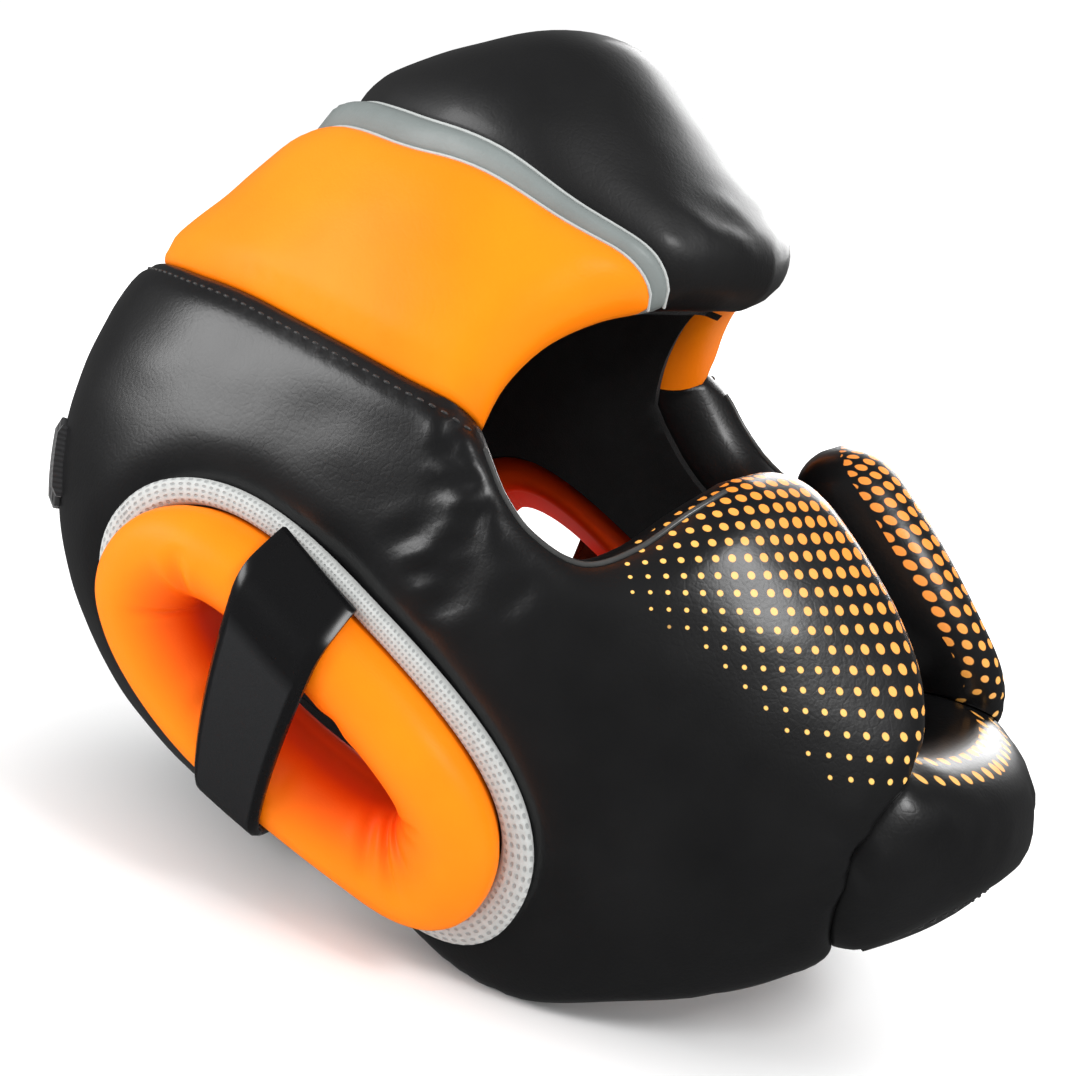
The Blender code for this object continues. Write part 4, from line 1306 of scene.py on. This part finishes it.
def fine_ring(side, around_count, section_count):
    """Orange padded ring with its wrinkles and a soft unevenness; prints tell how far inward it is, the mask
    of the painted shade in its hole.
    """
    top, low = ring_profile(section_count)
    shares = top + low
    lines, prints = [], []
    for j, (share, level) in enumerate(shares):
        along_top = j / (len(top) - 1)
        # How far into the hole: the mask of the painted red-orange shade
        inward = min(max((along_top - RED_SHADE_START) / (1.0 - RED_SHADE_START), 0.0), 1.0)
        prints.append(np.full((around_count, 2), inward))
        deep = np.zeros(around_count)
        if along_top <= 1.15:
            deep = np.array([ring_fold_depth(i / around_count,
                                             min(along_top, 1.0)) for i in range(around_count)])
        if share * share + level * level > 0.9 and j < len(top):
            grow = share * (RING_ROLL - deep)
        else:
            grow = np.full(around_count, share * RING_ROLL) + deep * 0.6
        base = oval(around_count, 0.0)
        ahead = np.roll(base, -1, axis=0) - np.roll(base, 1, axis=0)
        ahead /= np.linalg.norm(ahead, axis=1, keepdims=True)
        outward = np.stack([ahead[:, 1], -ahead[:, 0]], -1)
        place = base + outward * np.asarray(grow)[:, None]
        d = ear_place(side, place[:, 0], place[:, 1])
        if j >= len(top):
            h = depth(d) * (0.5 * level - 0.55)
        elif level > 1e-6:
            h = (RING_HEIGHT - deep) * level
        else:
            h = np.full(len(d), -2.0)
        q = d * (reach(d) + h)[:, None]
        if j < len(top):
            q = q + d * (0.8 * soft_waves(q) * level)[:, None]
        lines.append(q)
    verts, faces = closed_tube(np.stack(lines, 1))
    return verts, faces, np.stack(prints, 1).reshape(-1, 2)


def fine_trim(side, around_count):
    """Flat knitted band round the ring; prints run along and across it."""
    inner = RING_ROLL + PIECE_GAP
    low = TRIM_SEAT - TRIM_LEDGE
    rings, prints = [], []
    for share, level in TRIM_PROFILE:
        d = ear_oval(side, around_count, inner + TRIM_WIDTH * share)
        h = low + (TRIM_HEIGHT - low) * 0.5 * (level + 1.0)
        rings.append(d * (reach(d) + h)[:, None])
        prints.append(np.stack([np.arange(around_count) * 1.0, np.full(around_count, share * 5.0)], -1))
    verts, faces = closed_tube(np.stack(rings, 1))
    return verts, faces, np.stack(prints, 1).reshape(-1, 2)


def band_prints(along_count, across_count):
    """Prints of a band's vertices: share along it, and across it from -1 to 1."""
    along = np.repeat(np.linspace(0.0, 1.0, along_count), 2 * across_count)
    across = np.linspace(-1.0, 1.0, across_count)
    across = np.tile(np.concatenate([across, across[::-1]]), along_count)
    return np.stack([along, across], -1)


def build_pads(brow, black, printed, orange, grey, suede):
    finishes = {
        "forehead_panel": (brow, "black_leather"),
        "grey_stripe": (grey, "grey_leather"),
        "crown_panel": (orange, "orange_leather"),
        "side_pad": (printed, "black_leather"),
        "chin_guard": (printed, "black_leather"),
        "chin_underside_strip": (black, "black_leather"),
        "lining": (suede, "black_suede"),
    }
    for name, chart, loop, kinds, holes, top, bottom in pad_pieces(FINE_STEP, LINING_STEP):
        step = LINING_STEP if name.startswith("lining") else FINE_STEP
        verts, faces = sheet_mesh(chart, loop, kinds, holes, top, bottom, step)
        finish, slot = next(v for k, v in finishes.items() if name.startswith(k))
        piece = add_piece(name + "_leather", verts, faces, finish, (name,), print_places(verts),
                          len(verts) // 2)
        if not name.startswith("lining"):
            continue
        half = len(verts) // 2
        skin = [f for f in faces if max(f) < half]
        a, b, c = (verts[[f[k] for f in skin]] for k in range(3))
        area = float(np.linalg.norm(np.cross(b - a, c - a), axis=1).sum()) * 0.5 * MM * MM


def build_ears(orange, mesh_cloth, cover):
    for side, word in SIDES:
        verts, faces, prints = fine_ring(side, EAR_POINT_COUNT, RING_SECTION_POINTS)
        node = "ear_ring_" + word
        ring = add_piece(node + "_leather", verts, faces, orange, (node,), prints)
        verts, faces, prints = fine_trim(side, EAR_POINT_COUNT)
        add_piece("ear_trim_%s_mesh" % word, verts, faces, mesh_cloth, ("ear_trim_" + word,),
                  prints)
        verts, faces = closed_tube(ear_strap_sections(side, *EAR_STRAP_POINTS), closed=False)
        add_piece("ear_strap_%s_band" % word, verts, faces, cover, ("ear_strap_" + word,),
                  band_prints(*EAR_STRAP_POINTS))


def build_lines(light, dark, yarn):
    """Piping beside the grey stripes and round the eyes, and the rows of stitches."""
    for side, word in SIDES:
        for table, label in ((STRIPE_FRONT, "front"), (STRIPE_REAR, "rear")):
            d = curve(table, LINE_STEP, side)
            on = places(d) + d * (leather_height(d) + PIPING_SEAT * PIPING_RADIUS)[:, None]
            verts, faces = cord_mesh(on, d, PIPING_RADIUS)
            add_piece("stripe_piping_%s_%s" % (label, word), verts, faces, light)
        ear = direction(EAR_AROUND * side, EAR_UP)
        rim_run = curve(EYE_RIM, LINE_STEP, side)[RIM_PIPING_SKIP:-RIM_PIPING_SKIP]
        rim_out, rim = sewn_run(rim_run, RIM_PIPING_INSET, leather_height, ear)
        verts, faces = cord_mesh(rim, rim_out, RIM_PIPING_RADIUS)
        add_piece("eye_rim_piping_" + word, verts, faces, dark)
        below = direction(0.0, -90.0)
        lines = [sewn_run(curve(TEMPLE_SEAM, LINE_STEP, side), STITCH_OFFSET, leather_height, ear),
                 sewn_run(curve(STRIP_SEAM, LINE_STEP, side), STRIP_STITCH_OFFSET, strip_top, below)]
        verts, faces = stitch_mesh(lines)
        add_piece("seam_stitches_" + word, verts, faces, yarn)


def stage_floor():
    finish = Finish("pale_floor", 0.9, specular=0.0)
    finish.feed("Base Color", finish.mix(finish.noise(3.0), colour(0.88, 0.88, 0.88), colour(0.9, 0.9, 0.9)))
    mesh = bpy.data.meshes.new("floor")
    corners = [(-FLOOR, -FLOOR, 0.0), (FLOOR, -FLOOR, 0.0), (FLOOR, FLOOR, 0.0), (-FLOOR, FLOOR, 0.0)]
    mesh.from_pydata(corners, [], [(0, 1, 2, 3)])
    mesh.materials.append(finish.material)
    floor = bpy.data.objects.new("floor", mesh)
    bpy.context.scene.collection.objects.link(floor)
    # The black leather doesn't mirror the white floor, so it stays black
    floor.visible_glossy = False


def stage_world():
    """White surroundings that the glossy leather sees as dim."""
    world = bpy.data.worlds.new("studio")
    bpy.context.scene.world = world
    world.use_nodes = True
    tree = world.node_tree
    back = next(n for n in tree.nodes if n.type == "BACKGROUND")
    back.inputs["Color"].default_value = colour(1.0, 1.0, 1.0)
    rays = tree.nodes.new("ShaderNodeLightPath")
    dim = tree.nodes.new("ShaderNodeMath")
    dim.operation = "MULTIPLY_ADD"
    tree.links.new(rays.outputs["Is Glossy Ray"], dim.inputs[0])
    dim.inputs[1].default_value = WORLD_GLOSS - WORLD_LIGHT
    dim.inputs[2].default_value = WORLD_LIGHT
    tree.links.new(dim.outputs[0], back.inputs["Strength"])


def stage_lights():
    """Soft boxes round the part, each facing it."""
    target = Vector(LIGHT_TARGET)
    for name, toward, distance, width, height, watts in SOFT_BOXES:
        lamp = bpy.data.lights.new(name, "AREA")
        lamp.shape = "RECTANGLE"
        lamp.size = width
        lamp.size_y = height
        lamp.energy = watts
        item = bpy.data.objects.new(name, lamp)
        back = Vector(toward).normalized()
        item.location = target + back * distance
        item.rotation_euler = back.to_track_quat("Z", "Y").to_euler()
        bpy.context.scene.collection.objects.link(item)


def photo_camera():
    """The photograph's view: worked out in the worn frame, then leaned with the headgear."""
    turn, rise, roll = (math.radians(v) for v in CAMERA_TURN_RISE_ROLL)
    back = np.array([-math.cos(turn) * math.cos(rise), -math.sin(turn) * math.cos(rise), math.sin(rise)])
    right = np.cross(-back, (0.0, 0.0, 1.0))
    right /= np.linalg.norm(right)
    up = np.cross(right, -back)
    level_right = right * math.cos(roll) + up * math.sin(roll)
    level_up = up * math.cos(roll) - right * math.sin(roll)
    axes = leaned(np.stack([level_right, level_up, back]), LEAN)
    place = leaned(back[None] * CAMERA_DISTANCE, LEAN)[0] + np.array([0.0, BACK, LIFT])
    data = bpy.data.cameras.new("photo_camera")
    data.sensor_width = SENSOR_WIDTH
    data.lens = PIXELS_PER_MM * CAMERA_DISTANCE / PHOTO_WIDTH * data.sensor_width
    data.shift_x = (PHOTO_WIDTH / 2 - CENTRE_X) / PHOTO_WIDTH
    data.shift_y = (CENTRE_Y - PHOTO_HEIGHT / 2) / PHOTO_WIDTH
    data.clip_start = CLIP_START
    data.clip_end = CLIP_END
    matrix = Matrix.Identity(4)
    for k in range(3):
        for row in range(3):
            matrix[row][k] = axes[k][row]
        matrix[k][3] = place[k] * MM
    item = bpy.data.objects.new("photo_camera", data)
    item.matrix_world = matrix
    bpy.context.scene.collection.objects.link(item)
    bpy.context.scene.camera = item


LEAN, LIFT = rest_frame()
BACK = 0.0
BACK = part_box("rear_strap")[1][1] / MM - on_floor(rear_strap_mesh(*PACKED_STRAP_POINTS)[0])[:, 1].max()

bpy.context.scene.view_settings.view_transform = "Standard"
photo_camera()
stage_floor()
stage_world()
stage_lights()

brow_black = black_leather("brow_black_leather", 0.46)
plain_black = black_leather("black_leather", 0.31)
printed_black = black_leather("black_leather_printed", 0.31, printed=True)
black_yarn = thread("black_thread", (0.03, 0.03, 0.03))
orange = orange_leather("orange_leather")
build_pads(brow_black, plain_black, printed_black, orange, grey_leather(), black_suede())
# The ear ring's leather has painted shade in its hole
build_ears(orange_leather("ring_orange_leather_painted_shade", ring=True), spacer_mesh(), strap_cover())
verts, faces = rear_strap_mesh(*REAR_STRAP_POINTS)
add_piece("rear_strap_webbing", verts, faces, webbing(), ("rear_strap",),
          band_prints(*REAR_STRAP_POINTS))
build_lines(grey_piping(), dark_piping(), black_yarn)
